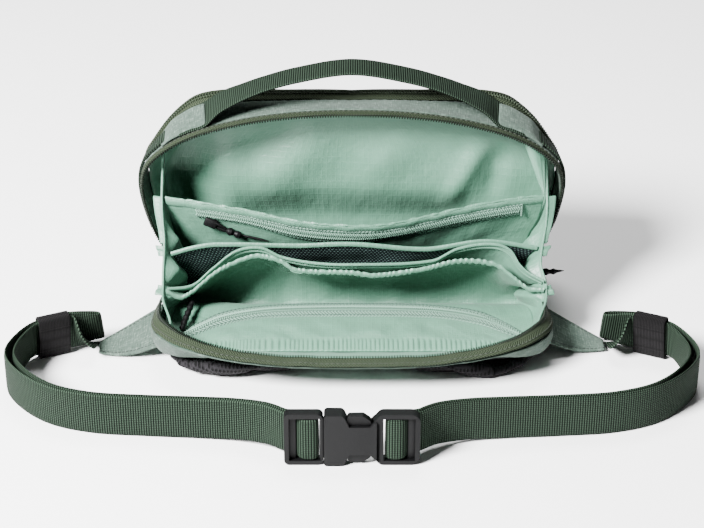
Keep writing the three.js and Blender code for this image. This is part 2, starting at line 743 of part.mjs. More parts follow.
// Turn of the webbing round the bar of the buckle, from the inner layer to the outer one.
const BAR_X = 23;
const BAR_HALF = { x: 3.2, y: 1.4 };
const BAR_TURN = [
  { x: 33, y: 8.6 },
  { x: 27, y: 5.6 },
  { x: 21.5, y: 3.4 },
  { x: 18.7, y: 1.7 },
  { x: 18.1, y: 0 },
  { x: 18.7, y: -1.7 },
  { x: 20.8, y: -2.75 },
  { x: 23, y: -2.85 },
  { x: 25.2, y: -2.75 },
  { x: 27.3, y: -1.6 },
  { x: 28.4, y: 0.3 },
  { x: 30, y: 2.8 },
  { x: 33, y: 4.9 },
];

// Stretch that twists from the wing's tip, and the hem at the end of the tail. Each row gives a place and
// the direction of the width.
const WING_TIP = [
  { x: 148.6, y: -68, z: 5.4, acrossY: -0.94, acrossZ: 0.34 },
  { x: 152, y: -69, z: 7, acrossY: -0.9, acrossZ: 0.43 },
  { x: 156, y: -69.5, z: 10.2, acrossY: -0.78, acrossZ: 0.62 },
];
const TAIL_END = [
  { x: 157, y: -61.5, z: 13.6, acrossY: -0.3, acrossZ: 0.954 },
  { x: 150.5, y: -59.6, z: 13.2, acrossY: -0.42, acrossZ: 0.907 },
  { x: 147, y: -58, z: 13, acrossY: -0.44, acrossZ: 0.898 },
  { x: 147.6, y: -55.4, z: 13, acrossY: -0.44, acrossZ: 0.898 },
  { x: 156.5, y: -55.8, z: 12.8, acrossY: -0.36, acrossZ: 0.933 },
  { x: 168, y: -58.8, z: 12.6, acrossY: -0.25, acrossZ: 0.968 },
];

function beltStations() {
  const upright = vec(0, 0, 1);
  const middle = BELT_WIDTH / 2;
  const outer = new THREE.CatmullRomCurve3(BELT_LOOP.map(({ x, y, lift }) => vec(x, y, lift + middle)),
    false, 'centripetal');
  const slack = new THREE.CatmullRomCurve3(BELT_LOOP.map(({ room, lean }) => vec(room, lean, 0)));
  const steps = 22;
  const outerLayer = [];
  const innerLayer = [];
  for (let step = 0; step <= steps; step += 1) {
    const t = step / steps;
    const place = outer.getPoint(t);
    const ahead = outer.getTangent(t);
    const inward = vec(-ahead.y, ahead.x, 0).normalize();
    const { x: room, y: lean } = slack.getPoint(t);
    const tilt = Math.tan(THREE.MathUtils.degToRad(lean));
    const across = upright.clone().addScaledVector(inward, tilt).normalize();
    outerLayer.push({ place, across });
    innerLayer.push({ place: place.clone().addScaledVector(inward, room), across });
  }
  const lying = (rows) => rows.map(({ x, y, z, acrossY, acrossZ }) => (
    { place: vec(x, y, z), across: vec(0, acrossY, acrossZ).normalize() }
  ));
  const turn = BAR_TURN.map(({ x, y }) => (
    { place: vec(x, BUCKLE_Y + y, BUCKLE_HEIGHT / 2), across: upright }
  ));
  return [...lying(WING_TIP), ...innerLayer.reverse(), ...turn, ...outerLayer, ...lying(TAIL_END)];
}

for (const [side, mirror] of [['left', -1], ['right', 1]]) {
  const stations = beltStations().map(({ place, across }) => (
    { place: vec(mirror * place.x, place.y, place.z), across: vec(mirror * across.x, across.y, across.z) }
  ));
  addPiece(`belt_strap_${side}`, webbing(stations, BELT_WIDTH, WEBBING), COLOURS.webbing, 0.8);

  const [from, , to] = BELT_LOOP.slice(-3);
  const ahead = vec(to.x - from.x, to.y - from.y, 0).normalize();
  const inward = vec(-ahead.y, ahead.x, 0);
  const middle = vec((from.x + to.x) / 2, (from.y + to.y) / 2, 0).addScaledVector(inward, to.room / 2);
  const outside = block(KEEPER.length, KEEPER.room + 2 * KEEPER.wall, KEEPER.height, 0, 0, 0);
  const inside = block(KEEPER.length + 2, KEEPER.room, KEEPER.height - 2 * KEEPER.wall, 0, 0, 0);
  const keeper = toGeometry(toSolid(outside).subtract(toSolid(inside)));
  keeper.rotateX(-THREE.MathUtils.degToRad(KEEPER.lean));
  keeper.rotateZ(Math.atan2(ahead.y, ahead.x));
  keeper.translate(middle.x, middle.y, KEEPER_LIFT + BELT_WIDTH / 2);
  if (mirror < 0) {
    keeper.scale(-1, 1, 1);
    keeper.setIndex([...keeper.index.array].reverse());
  }
  addPiece(`keeper_${side}`, keeper, COLOURS.black, 0.85);
}

// Wings between the flap's side and the webbing.
const WING_ROOT_X = 116.6;
const WING_END_X = 148;
const WINGS = {
  left: { farY: [-41, -59.5], farZ: [15, 3], nearY: [-76, -71.5], nearZ: [7.5, 2.4] },
  right: { farY: [-41, -57.5], farZ: [15, 3], nearY: [-72, -67.5], nearZ: [8.5, 2.6] },
};
for (const [side, mirror] of [['left', -1], ['right', 1]]) {
  const { farY, farZ, nearY, nearZ } = WINGS[side];
  addPiece(`wing_${side}`, cloth((u, v) => {
    const far = vec(0, lerp(...farY, u), lerp(...farZ, u));
    const near = vec(0, lerp(...nearY, u), lerp(...nearZ, u));
    const place = far.lerp(near, v);
    place.z -= 3 * Math.sin(Math.PI * u) * v;
    return place.setX(mirror * lerp(WING_ROOT_X, WING_END_X, u));
  }, 6, 4, SHELL), COLOURS.heather, 0.9);
}

// Fastened side-release buckle, drawn from the front: x along the belt and z up, in slices across its depth.
function slice(shape, depth) {
  return toSolid(plate(shape, 0, depth).rotateX(Math.PI / 2).translate(0, BUCKLE_Y + depth / 2, 0));
}

function polygon(corners) {
  return new THREE.Shape(corners.map(([x, z]) => new THREE.Vector2(x, z)));
}

function barAt(x) {
  const bar = new THREE.CylinderGeometry(1, 1, BUCKLE_HEIGHT - RAIL, 12).rotateX(Math.PI / 2);
  return toSolid(bar.scale(BAR_HALF.x, BAR_HALF.y, 1).translate(x, BUCKLE_Y, BUCKLE_HEIGHT / 2));
}

const FRAME_DEPTH = 6.5;
const BODY_DEPTH = 9;
const PRONG_DEPTH = 4.6;
const RAIL = 2.6;
const PRONG_RAIL = 3.9;
const WINDOW_END = 16.6;
const BUCKLE_SPLIT = -15;
const NOTCH = 7;
const END = BUCKLE_LENGTH / 2;
const TOP = BUCKLE_HEIGHT;
const opening = (from, to, rail) => polygon([[from, rail], [to, rail], [to, TOP - rail], [from, TOP - rail]]);
const outerRail = END - 2.7;

const prongRows = [
  [-12, PRONG_RAIL], [-3, PRONG_RAIL], [-1.8, 1.6], [6, 1.4], [9.5, 4], [10.5, 6], [4, 9.5], [-12, 10],
];
const prong = slice(polygon(prongRows), PRONG_DEPTH);
const otherProng = slice(polygon(prongRows.map(([x, z]) => [x, TOP - z]).reverse()), PRONG_DEPTH);
const maleBase = slice(opening(-WINDOW_END - 0.6, -11, PRONG_RAIL), PRONG_DEPTH);
const maleFrame = slice(roundedShape(-END, BUCKLE_SPLIT - GAP / 2, 0, TOP, 3), FRAME_DEPTH)
  .subtract(slice(opening(-outerRail, -WINDOW_END, RAIL), FRAME_DEPTH + 2));
const male = maleFrame.add(barAt(-BAR_X)).add(maleBase).add(prong).add(otherProng);
addPiece('buckle_male', toGeometry(male), COLOURS.black, 0.45);

const bodyHalf = [[BUCKLE_SPLIT + GAP / 2, 0], [-4.5, 0], [-1.5, NOTCH], [9.5, NOTCH], [13, 3.2]];
const withUpperHalf = (corners) => polygon([...corners, ...corners.map(([x, z]) => [x, TOP - z]).reverse()]);
const femaleBody = slice(withUpperHalf(bodyHalf), BODY_DEPTH);
const frameHalf = [[9.5, NOTCH], [15, 0], [END - 3, 0], [END, 3]];
const femaleFrame = slice(withUpperHalf(frameHalf), FRAME_DEPTH)
  .subtract(slice(opening(WINDOW_END, outerRail, RAIL), FRAME_DEPTH + 2));
const prongRoom = slice(opening(-18, 11.5, PRONG_RAIL - GAP), PRONG_DEPTH + 2 * GAP);
const female = femaleBody.add(femaleFrame).subtract(prongRoom).add(barAt(BAR_X));
addPiece('buckle_female', toGeometry(female), COLOURS.black, 0.45);

// Pulls of the two inner zips, and the main zip's slider with its cord and bead at the right zip end.
const PULL = { width: 4.5, thickness: 2, stand: 3.4 };

function pullAlong(places) {
  const ahead = places[places.length - 1].clone().sub(places[0]);
  const across = new THREE.Vector3().crossVectors(ahead, vec(0, 1, 0)).normalize();
  return webbing(places.map((place) => ({ place, across })), PULL.width, PULL.thickness);
}

const dividerPullPlaces = [0, 0.33, 0.67, 1].map((t) => (
  dividerPoint(DIVIDERS.zip_divider, lerp(0.11, 0.212, t), lerp(0.2, 0.33, t)).add(vec(0, -PULL.stand, 0))
));
addPiece('divider_pull', pullAlong(dividerPullPlaces), COLOURS.black, 0.6);
addPiece('pocket_pull', webbing([
  { place: vec(-97.5, -51, 20.6), across: vec(1, 0, 0) },
  { place: vec(-98.5, -57.5, 19), across: vec(1, 0, 0) },
  { place: vec(-97.5, -64, 17), across: vec(1, 0, 0) },
], PULL.width, PULL.thickness), COLOURS.black, 0.6);

const SLIDER = { x: 110, y: -22, z: 30.5 };
const sliderBody = toSolid(block(6, 8, 5, SLIDER.x, SLIDER.y, SLIDER.z));
const sliderCord = toSolid(block(12, 1.6, 1.6, SLIDER.x + 8, SLIDER.y, SLIDER.z));
const bead = new THREE.CylinderGeometry(2, 2, 5, 10).rotateZ(Math.PI / 2);
const sliderBead = toSolid(bead.translate(SLIDER.x + 15, SLIDER.y, SLIDER.z));
addPiece('main_slider', toGeometry(sliderBody.add(sliderCord).add(sliderBead)), COLOURS.black, 0.5);

export default pack;
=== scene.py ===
import math

import bmesh
import bpy
import numpy as np
from mathutils import Matrix, Vector, noise


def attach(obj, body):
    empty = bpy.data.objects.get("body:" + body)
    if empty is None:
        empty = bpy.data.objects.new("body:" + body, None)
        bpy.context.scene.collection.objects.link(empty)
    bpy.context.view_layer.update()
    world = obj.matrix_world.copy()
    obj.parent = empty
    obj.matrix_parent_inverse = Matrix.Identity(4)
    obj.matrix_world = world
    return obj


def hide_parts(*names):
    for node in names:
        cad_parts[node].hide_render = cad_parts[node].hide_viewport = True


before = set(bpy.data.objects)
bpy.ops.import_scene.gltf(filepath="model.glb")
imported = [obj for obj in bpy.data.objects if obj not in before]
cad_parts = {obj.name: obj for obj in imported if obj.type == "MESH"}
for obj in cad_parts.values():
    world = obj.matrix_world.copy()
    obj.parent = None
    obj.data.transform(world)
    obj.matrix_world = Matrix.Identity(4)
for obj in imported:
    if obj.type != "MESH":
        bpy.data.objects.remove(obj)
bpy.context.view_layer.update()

# Camera: a long lens on the wearer's side, 28 degrees above the floor, in line with the pack's middle.
# It faces the foot of the upright lip, and its frame is shifted up so that the pack and belt fill the picture.
CAMERA_AIM = Vector((0.0, 0.0, 0.0))
CAMERA_DISTANCE = 1.18
CAMERA_ELEVATION = math.radians(28)
CAMERA_LENS = 97.8
CAMERA_SENSOR = 36
CAMERA_RAISE = 0.0497

camera_data = bpy.data.cameras.new("camera")
camera_data.lens = CAMERA_LENS
camera_data.sensor_width = CAMERA_SENSOR
camera_data.shift_y = CAMERA_RAISE
camera = bpy.data.objects.new("camera", camera_data)
away = Vector((0, -math.cos(CAMERA_ELEVATION), math.sin(CAMERA_ELEVATION)))
camera.location = CAMERA_AIM + CAMERA_DISTANCE * away
camera.rotation_euler = (-away).to_track_quat("-Z", "Y").to_euler()
bpy.context.collection.objects.link(camera)
bpy.context.scene.camera = camera

# Studio: a pale floor and a white surround, both weakly lit from all round.
# A soft light stands high on the left, and a wide weak one behind the top.
FLOOR_SIZE = 6.0
FLOOR_COLOUR = (0.96, 0.96, 0.96, 1)
FLOOR_ROUGHNESS = 0.9
SURROUND_COLOUR = (1, 1, 1, 1)
SURROUND_STRENGTH = 0.09
LIGHT_AIM = Vector((0, -0.05, 0.05))

floor_mesh = bpy.data.meshes.new("studio_floor")
floor_bm = bmesh.new()
bmesh.ops.create_grid(floor_bm, x_segments=1, y_segments=1, size=FLOOR_SIZE)
floor_bm.to_mesh(floor_mesh)
floor_bm.free()
studio_floor = bpy.data.objects.new("studio_floor", floor_mesh)
bpy.context.collection.objects.link(studio_floor)
floor_material = bpy.data.materials.new("pale_floor")
floor_material.use_nodes = True
floor_shader = floor_material.node_tree.nodes["Principled BSDF"]
floor_shader.inputs["Base Color"].default_value = FLOOR_COLOUR
floor_shader.inputs["Roughness"].default_value = FLOOR_ROUGHNESS
floor_mesh.materials.append(floor_material)

world = bpy.data.worlds.new("studio")
world.use_nodes = True
world.node_tree.nodes["Background"].inputs["Color"].default_value = SURROUND_COLOUR
world.node_tree.nodes["Background"].inputs["Strength"].default_value = SURROUND_STRENGTH
bpy.context.scene.world = world


def soft_light(name, place, size, power):
    lamp = bpy.data.lights.new(name, "AREA")
    lamp.shape = "DISK"
    lamp.size = size
    lamp.energy = power
    light = bpy.data.objects.new(name, lamp)
    light.location = place
    light.rotation_euler = (LIGHT_AIM - Vector(place)).to_track_quat("-Z", "Y").to_euler()
    bpy.context.collection.objects.link(light)


soft_light("key_left", (-1.05, -0.98, 1.17), 0.6, 250)
soft_light("overhead", (0.0, 0.6, 1.6), 0.8, 26)

# Top strip: the grey-green strip between the two zips, which gives the upright half its outline.
# Heather cloth 1.5 mm thick, sewn in one length from zip end to zip end, puckered a little at its seams.
MM = 0.001
SHELL = 1.5
SEAM_GAP = 0.4
STRIP_FRONT_Y = 18
STRIP_END_Z = 38.8
OUTLINE = [(100, 1.5), (105.5, 8), (110, 28), (119.5, 47), (125, 66), (126.3, 80), (123.5, 91), (113.5, 101.5),
           (95, 111.8), (65, 120.3), (35, 124.6)]
OUTLINE_TOP = 126
CROWN = {"y": [-30, 0, 9, 18, 24, 30, 46], "out": [0, 0, -1, -1.8, -0.6, -0.4, -4]}
CROWN_RAMP_Z = (5, 60)
SHOULDER = {"x": [0, 40, 62, 78, 90, 100, 108, 115, 122, 130], "out": [1, 3.3, 7, 10, 10.8, 8, 5, 2, 0, 0]}
SHOULDER_RAMP_Y = (0, 27)
SHOULDER_RAMP_Z = (86, 100)
HEATHER = {"dark": (0.021, 0.033, 0.026, 1), "middle": (0.050, 0.073, 0.059, 1), "light": (0.125, 0.165, 0.139, 1)}


def lerp(start, end, share):
    return start + (end - start) * share


def smooth(value, low, high):
    share = min(max((value - low) / (high - low), 0), 1)
    return share * share * (3 - 2 * share)


def hermite(start, end, leave, arrive, t):
    """Point of a smooth curve from start to end, with the rates at which it leaves and arrives."""
    bend = 3 * (end - start) - 2 * leave - arrive
    twist = 2 * (start - end) + leave + arrive
    return start + t * (leave + t * (bend + t * twist))


def read_table(table, along, column, place):
    """Value of one column of a table, read on a smooth curve at a place along another column."""
    order = sorted(zip(table[along], table[column]))
    bounded = min(max(place, order[0][0]), order[-1][0])
    index = 0
    while index < len(order) - 2 and order[index + 1][0] < bounded:
        index += 1
    a, b = order[index], order[index + 1]
    before, after = order[max(index - 1, 0)], order[min(index + 2, len(order) - 1)]
    span = b[0] - a[0]
    leave = (b[1] - before[1]) / (b[0] - before[0]) * span
    arrive = (after[1] - a[1]) / (after[0] - a[0]) * span
    return hermite(a[1], b[1], leave, arrive, (bounded - a[0]) / span)


class Path:
    """A smooth curve through points, read by the share of its length."""

    STEPS = 60
    PLACES = 3000
    LOOK = 0.002

    def __init__(self, points):
        knots = [Vector(point) for point in points]
        knots = [2 * knots[0] - knots[1], *knots, 2 * knots[-1] - knots[-2]]
        fine = []
        for a, b, c, d in zip(knots, knots[1:], knots[2:], knots[3:]):
            first, middle, last = ((q - p).length ** 0.5 for p, q in ((a, b), (b, c), (c, d)))
            leave = (b - a) / first * middle - (c - a) / (first + middle) * middle + (c - b)
            arrive = (c - b) - (d - b) / (middle + last) * middle + (d - c) / last * middle
            fine += [hermite(b, c, leave, arrive, step / self.STEPS) for step in range(self.STEPS)]
        fine.append(knots[-2])
        places = np.array(fine)
        self.run = np.concatenate([[0], np.cumsum(np.linalg.norm(np.diff(places, axis=0), axis=1))])
        self.length = float(self.run[-1])
        even = np.linspace(0, self.length, self.PLACES + 1)
        columns = [np.interp(even, self.run, column) for column in places.T]
        self.places = [Vector(place) for place in zip(*columns)]

    def at(self, share):
        along = min(max(share, 0), 1) * self.PLACES
        index = min(int(along), self.PLACES - 1)
        return self.places[index].lerp(self.places[index + 1], along - index)

    def ahead(self, share):
        return (self.at(min(share + self.LOOK, 1)) - self.at(max(share - self.LOOK, 0))).normalized()


hoop = Path([*((-x, 0, z) for x, z in OUTLINE), (0, 0, OUTLINE_TOP), *((x, 0, z) for x, z in reversed(OUTLINE))])


def hoop_outward(t):
    ahead = hoop.ahead(t)
    return Vector((-ahead.z, 0, ahead.x))


def hoop_point(t, outset, y=0):
    place = hoop.at(t) + outset * hoop_outward(t)
    place.y = y
    return place


def hoop_at_height(height):
    """Share of the outline at which its left half reaches a height."""
    low, high = 0.0, 0.5
    for _ in range(30):
        middle = (low + high) / 2
        low, high = (middle, high) if hoop.at(middle).z < height else (low, middle)
    return low


def shell_point(t, y, depth):
    """Place on the shell at a share of its outline and a distance behind the lip, at a depth below its face."""
    place = hoop.at(t)
    shoulder = (read_table(SHOULDER, "x", "out", abs(place.x))
                * smooth(y, *SHOULDER_RAMP_Y) * smooth(place.z, *SHOULDER_RAMP_Z))
    crown = read_table(CROWN, "y", "out", y) * smooth(place.z, *CROWN_RAMP_Z)
    return hoop_point(t, crown + shoulder - depth, y)


def new_piece(name, bm, finish, slot, *nodes):
    """Object of the pack from a mesh in millimetres, riding on the one body and standing for CAD nodes."""
    bmesh.ops.scale(bm, vec=(MM, MM, MM), verts=bm.verts)
    mesh = bpy.data.meshes.new(name)
    bm.to_mesh(mesh)
    bm.free()
    mesh.shade_smooth()
    mesh.materials.append(finish)
    piece = bpy.data.objects.new(name, mesh)
    bpy.context.collection.objects.link(piece)
    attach(piece, "root")
    if nodes:
        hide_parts(*nodes)
    return piece


def run_length(place, steps=200):
    """Length of a curve place(u), summed over short steps."""
    return sum((place((n + 1) / steps) - place(n / steps)).length for n in range(steps))


def cloth_mesh(surface, columns, rows, closed=False, relief=None):
    """Grid laid along surface(u, v) with flat coordinates in metres; relief(u, v, place) lifts it off the surface."""
    bm = bmesh.new()
    flat = bm.loops.layers.uv.new("flat")
    bmesh.ops.create_grid(bm, x_segments=columns, y_segments=rows, size=0.5)
    shares = {vert: (vert.co.x + 0.5, vert.co.y + 0.5) for vert in bm.verts}
    wide = run_length(lambda u: surface(u, 0.5), columns) * MM
    high = run_length(lambda v: surface(0.5, v), rows) * MM
    for face in bm.faces:
        for loop in face.loops:
            u, v = shares[loop.vert]
            loop[flat].uv = (u * wide, v * high)
    for vert, (u, v) in shares.items():
        vert.co = surface(u, v)
    if relief:
        bm.normal_update()
        moves = [(vert, vert.normal * relief(*shares[vert], vert.co)) for vert in bm.verts]
        for vert, move in moves:
            vert.co += move
    if closed:
        bmesh.ops.remove_doubles(bm, verts=bm.verts, dist=0.01)
    return bm


def soften(piece):
    soft = piece.modifiers.new("soft edges", "SUBSURF")
    soft.levels = 1
    soft.render_levels = 1
    return piece


def thicken(piece, thickness):
    wall = piece.modifiers.new("thickness", "SOLIDIFY")
    wall.thickness = thickness * MM
    wall.offset = 0
    return soften(piece)


def new_group(name, inputs, outputs):
    """Shader node group with its sockets, its input and its output node."""
    group = bpy.data.node_groups.new(name, "ShaderNodeTree")
    for socket, kind, value in inputs:
        made = group.interface.new_socket(socket, in_out="INPUT", socket_type=kind)
        if value is not None:
            made.default_value = value
    for socket, kind in outputs:
        group.interface.new_socket(socket, in_out="OUTPUT", socket_type=kind)
    return group, group.nodes.new("NodeGroupInput"), group.nodes.new("NodeGroupOutput")


def feed(tree, socket, value):
    """Links an input to a socket, or sets it to a value."""
    if isinstance(value, bpy.types.NodeSocket):
        tree.links.new(value, socket)
    else:
        socket.default_value = value


def math_node(tree, operation, *values, clamp=False):
    """Math node whose inputs are sockets or numbers; gives its output socket."""
    node = tree.nodes.new("ShaderNodeMath")
    node.operation = operation
    node.use_clamp = clamp
    for socket, value in zip(node.inputs, values):
        feed(tree, socket, value)
    return node.outputs[0]


def mix_colour(tree, share, first, second):
    """Mix of two colours, each a socket or a value, by a share that is a socket."""
    node = tree.nodes.new("ShaderNodeMix")
    node.data_type = "RGBA"
    for socket, value in ((node.inputs["Factor"], share), (node.inputs[6], first), (node.inputs[7], second)):
        feed(tree, socket, value)
    return node.outputs[2]


def tint(tree, shader, share, first, second):
    """Base colour of a shader, mixed from two colours by a share."""
    tree.links.new(mix_colour(tree, share, first, second), shader.inputs["Base Color"])


def scaled(tree, vector, x, y, z=1):
    node = tree.nodes.new("ShaderNodeVectorMath")
    node.operation = "MULTIPLY"
    tree.links.new(vector, node.inputs[0])
    node.inputs[1].default_value = (x, y, z)
    return node.outputs[0]


def noise_node(tree, vector, scale, detail=2.0):
    node = tree.nodes.new("ShaderNodeTexNoise")
    tree.links.new(vector, node.inputs["Vector"])
    node.inputs["Scale"].default_value = scale
    node.inputs["Detail"].default_value = detail
    return node.outputs["Fac"]


def new_finish(name, roughness, specular=0.5, places="UV"):
    """Material with its tree, its Principled shader and its coordinates, flat on the cloth or in the object."""
    finish = bpy.data.materials.new(name)
    finish.use_nodes = True
    shader = finish.node_tree.nodes["Principled BSDF"]
    shader.inputs["Roughness"].default_value = roughness
    shader.inputs["Specular IOR Level"].default_value = specular
    return finish, finish.node_tree, shader, finish.node_tree.nodes.new("ShaderNodeTexCoord").outputs[places]


def add_group(tree, group, **values):
    """Group node with its inputs set by name, each a socket or a value."""
    node = tree.nodes.new("ShaderNodeGroup")
    node.node_tree = group
    for name, value in values.items():
        feed(tree, node.inputs[name], value)
    return node


def add_relief(tree, shader, height, depth, normal=None):
    """Relief of a height from 0 to 1 and a depth in metres, on the shader's normal."""
    node = tree.nodes.new("ShaderNodeBump")
    node.inputs["Distance"].default_value = depth
    tree.links.new(height, node.inputs["Height"])
    if normal:
        tree.links.new(normal, node.inputs["Normal"])
    tree.links.new(node.outputs["Normal"], shader.inputs["Normal"])
    return node.outputs["Normal"]


# Two thread directions with their own slubs, crossing over and under.
THREADS_PER_METRE = 1500
SLUBS_PER_METRE = 200
CLOUDS_PER_METRE = 60
CLOUD_SHARE = 0.35
TONE_CONTRAST = 3.2
DARK_BELOW = 3.5
LIGHT_ABOVE = 3.9
weave, weave_in, weave_out = new_group(
    "crossed_threads",
    [("Flat", "NodeSocketVector", None), ("Dark", "NodeSocketColor", None), ("Middle", "NodeSocketColor", None),
     ("Light", "NodeSocketColor", None)],
    [("Color", "NodeSocketColor"), ("Height", "NodeSocketFloat")])
warp = noise_node(weave, scaled(weave, weave_in.outputs["Flat"], THREADS_PER_METRE, SLUBS_PER_METRE), 1)
weft = noise_node(weave, scaled(weave, weave_in.outputs["Flat"], SLUBS_PER_METRE, THREADS_PER_METRE), 1)
cloudy = noise_node(weave, weave_in.outputs["Flat"], CLOUDS_PER_METRE)
crossing = math_node(weave, "ADD", warp, weft)
tone = math_node(weave, "ADD", crossing, math_node(weave, "MULTIPLY", cloudy, CLOUD_SHARE))
darkening = math_node(weave, "MULTIPLY_ADD", tone, -TONE_CONTRAST, DARK_BELOW)
dark_share = math_node(weave, "SMOOTH_MIN", darkening, 1, 0.1, clamp=True)
light_share = math_node(weave, "MULTIPLY_ADD", tone, TONE_CONTRAST, -LIGHT_ABOVE, clamp=True)
shaded = mix_colour(weave, dark_share, weave_in.outputs["Middle"], weave_in.outputs["Dark"])
weave.links.new(mix_colour(weave, light_share, shaded, weave_in.outputs["Light"]), weave_out.inputs["Color"])
weave.links.new(math_node(weave, "MULTIPLY", tone, 0.5), weave_out.inputs["Height"])

heather, heather_tree, heather_shader, flat = new_finish("heather_cloth", 0.92, 0.05)
threads = add_group(heather_tree, weave, Flat=flat, Dark=HEATHER["dark"], Middle=HEATHER["middle"],
                    Light=HEATHER["light"])
heather_tree.links.new(threads.outputs["Color"], heather_shader.inputs["Base Color"])
heather_shader.inputs["Sheen Weight"].default_value = 0.06
heather_shader.inputs["Sheen Roughness"].default_value = 0.5
add_relief(heather_tree, heather_shader, threads.outputs["Height"], 0.0005)

SEAM_PUCKER = 0.25
PUCKERS = 62
strip_end = hoop_at_height(STRIP_END_Z)


def strip_t(u):
    return lerp(strip_end, 1 - strip_end, u)


def top_strip_point(u, v):
    return shell_point(strip_t(u), lerp(SEAM_GAP, STRIP_FRONT_Y - SEAM_GAP, v), SHELL / 2)


def seam_pucker(u, v, place):
    return SEAM_PUCKER * abs(2 * v - 1) ** 3 * math.sin(2 * math.pi * PUCKERS * u)


thicken(new_piece("top_strip_cloth", cloth_mesh(top_strip_point, 260, 8, relief=seam_pucker), heather, "heather",
                  "top_strip"), SHELL)

# Front zip: the closed olive zip of the front pocket, over the top from shoulder to shoulder behind the strip.
# Two woven tapes with a coil of slanted ribs where they meet, sewn between the top strip and the front panel.
TAPE = 1.2
FRONT_ZIP_Y = 30
FRONT_ZIP_END_Z = 84
COIL_PITCH = 1.7
COIL_RIB = (0.9, 2.6, 1.2)
COIL_SLANT = 0.55
COIL_ROUND = 0.25
COIL_ROWS = (0.42, 0.58)
COIL_PROUD = 0.35
# The groove colour is painted shade, the darkness down between the tape's cords.
OLIVE = {"face": (0.037, 0.048, 0.029, 1), "groove_shade": (0.006, 0.010, 0.006, 1)}
COIL_COLOUR = (0.020, 0.028, 0.017, 1)


def axes_of(tree, vector):
    node = tree.nodes.new("ShaderNodeSeparateXYZ")
    tree.links.new(vector, node.inputs[0])
    return node.outputs


# Chevrons of a woven tape, and how far each point lies down a groove between its cords, as a mask for painted shade
# in the grooves.
CHEVRON_WIDTH = 0.0024
CHEVRON_PITCH = 0.0016
tape_weave, tape_in, tape_out = new_group("tape_chevrons", [("Flat", "NodeSocketVector", None)],
                                          [("Groove_shade", "NodeSocketFloat"), ("Height", "NodeSocketFloat")])
tape_axes = axes_of(tape_weave, tape_in.outputs["Flat"])
zigzag = math_node(tape_weave, "PINGPONG", tape_axes["Y"], CHEVRON_WIDTH)
slanted = math_node(tape_weave, "ADD", tape_axes["X"], zigzag)
wave = math_node(tape_weave, "SINE", math_node(tape_weave, "MULTIPLY", slanted, 2 * math.pi / CHEVRON_PITCH))
tape_height = math_node(tape_weave, "MULTIPLY_ADD", wave, 0.5, 0.5)
tape_weave.links.new(tape_height, tape_out.inputs["Height"])
tape_weave.links.new(math_node(tape_weave, "SUBTRACT", 1, tape_height), tape_out.inputs["Groove_shade"])

olive, olive_tree, olive_shader, flat = new_finish("olive_tape", 0.85, 0.06)
chevrons = add_group(olive_tree, tape_weave, Flat=flat)
# Painted shade: the tape is darkened down its grooves.
tint(olive_tree, olive_shader, math_node(olive_tree, "MULTIPLY", chevrons.outputs["Groove_shade"], 0.95),
     OLIVE["face"], OLIVE["groove_shade"])
add_relief(olive_tree, olive_shader, chevrons.outputs["Height"], 0.0003)


def plain_finish(name, colour, roughness, specular=0.5):
    finish, _, shader, _ = new_finish(name, roughness, specular)
    shader.inputs["Base Color"].default_value = colour
    return finish


def block_mesh(stations, size, rounding=0.0, segments=1):
    """Small blocks, one at each station of place, way ahead and way up, sized along, across and up."""
    bm = bmesh.new()
    for place, ahead, up in stations:
        across = up.cross(ahead).normalized()
        turn = Matrix((ahead, across, ahead.cross(across))).transposed().to_4x4()
        bmesh.ops.create_cube(bm, size=1, matrix=Matrix.Translation(place) @ turn @ Matrix.Diagonal((*size, 1)))
    if rounding:
        bmesh.ops.bevel(bm, geom=bm.edges[:], offset=rounding, affect="EDGES", segments=segments, profile=0.5,
                        material=-1)
    return bm


front_zip_end = hoop_at_height(FRONT_ZIP_END_Z)


def front_zip_t(u):
    return lerp(front_zip_end, 1 - front_zip_end, u)


def front_zip_place(u, v, depth=TAPE / 2):
    return shell_point(front_zip_t(u), lerp(STRIP_FRONT_Y + SEAM_GAP, FRONT_ZIP_Y - SEAM_GAP, v), depth)


def front_coil_ribs():
    length = run_length(lambda u: front_zip_place(u, 0.5, 0))
    stations = []
    for rib in range(int(length / COIL_PITCH)):
        u = (rib + 0.5) * COIL_PITCH / length
        up = hoop_outward(front_zip_t(u))
        for row, slant in zip(COIL_ROWS, (COIL_SLANT, -COIL_SLANT)):
            along = Matrix.Rotation(slant, 3, up) @ hoop.ahead(front_zip_t(u))
            stations.append((front_zip_place(u, row, -COIL_PROUD), along, up))
    return stations


thicken(new_piece("front_zip_tape", cloth_mesh(front_zip_place, 200, 6), olive, "olive_tape", "front_zip"), TAPE)
new_piece("front_zip_coil", block_mesh(front_coil_ribs(), COIL_RIB, COIL_ROUND),
          plain_finish("coil_nylon", COIL_COLOUR, 0.5, 0.12), "olive_tape")

# Front panel: the bulged outer face of the front pocket, away from the viewer and finished plainly.
# One piece of heather cloth from the front zip round to the bottom seam, fullest at its middle. Its seam
# allowance lies under the zip's tape.
FRONT_PANEL_MIDDLE = Vector((0, 55, 60))
BOTTOM_FRONT_Y = 44
BOTTOM_RIM_Y = BOTTOM_FRONT_Y + 1.4
BOTTOM_SHARE = 0.22
PANEL_ROUND = 2.6
PANEL_ROWS = 17
RIM_INSET = 1.3
RIM_INSET_AT_ZIP = 2.0
RIM_UNDER_ZIP = 0.6
RIM_RAMP_Z = (5, FRONT_ZIP_END_Z)
RIM_AT_ZIP_Z = (78, 88)
SEAM_ALLOWANCE = 5


def rim_y(z):
    return lerp(BOTTOM_RIM_Y, FRONT_ZIP_Y - RIM_UNDER_ZIP, smooth(z, *RIM_RAMP_Z))


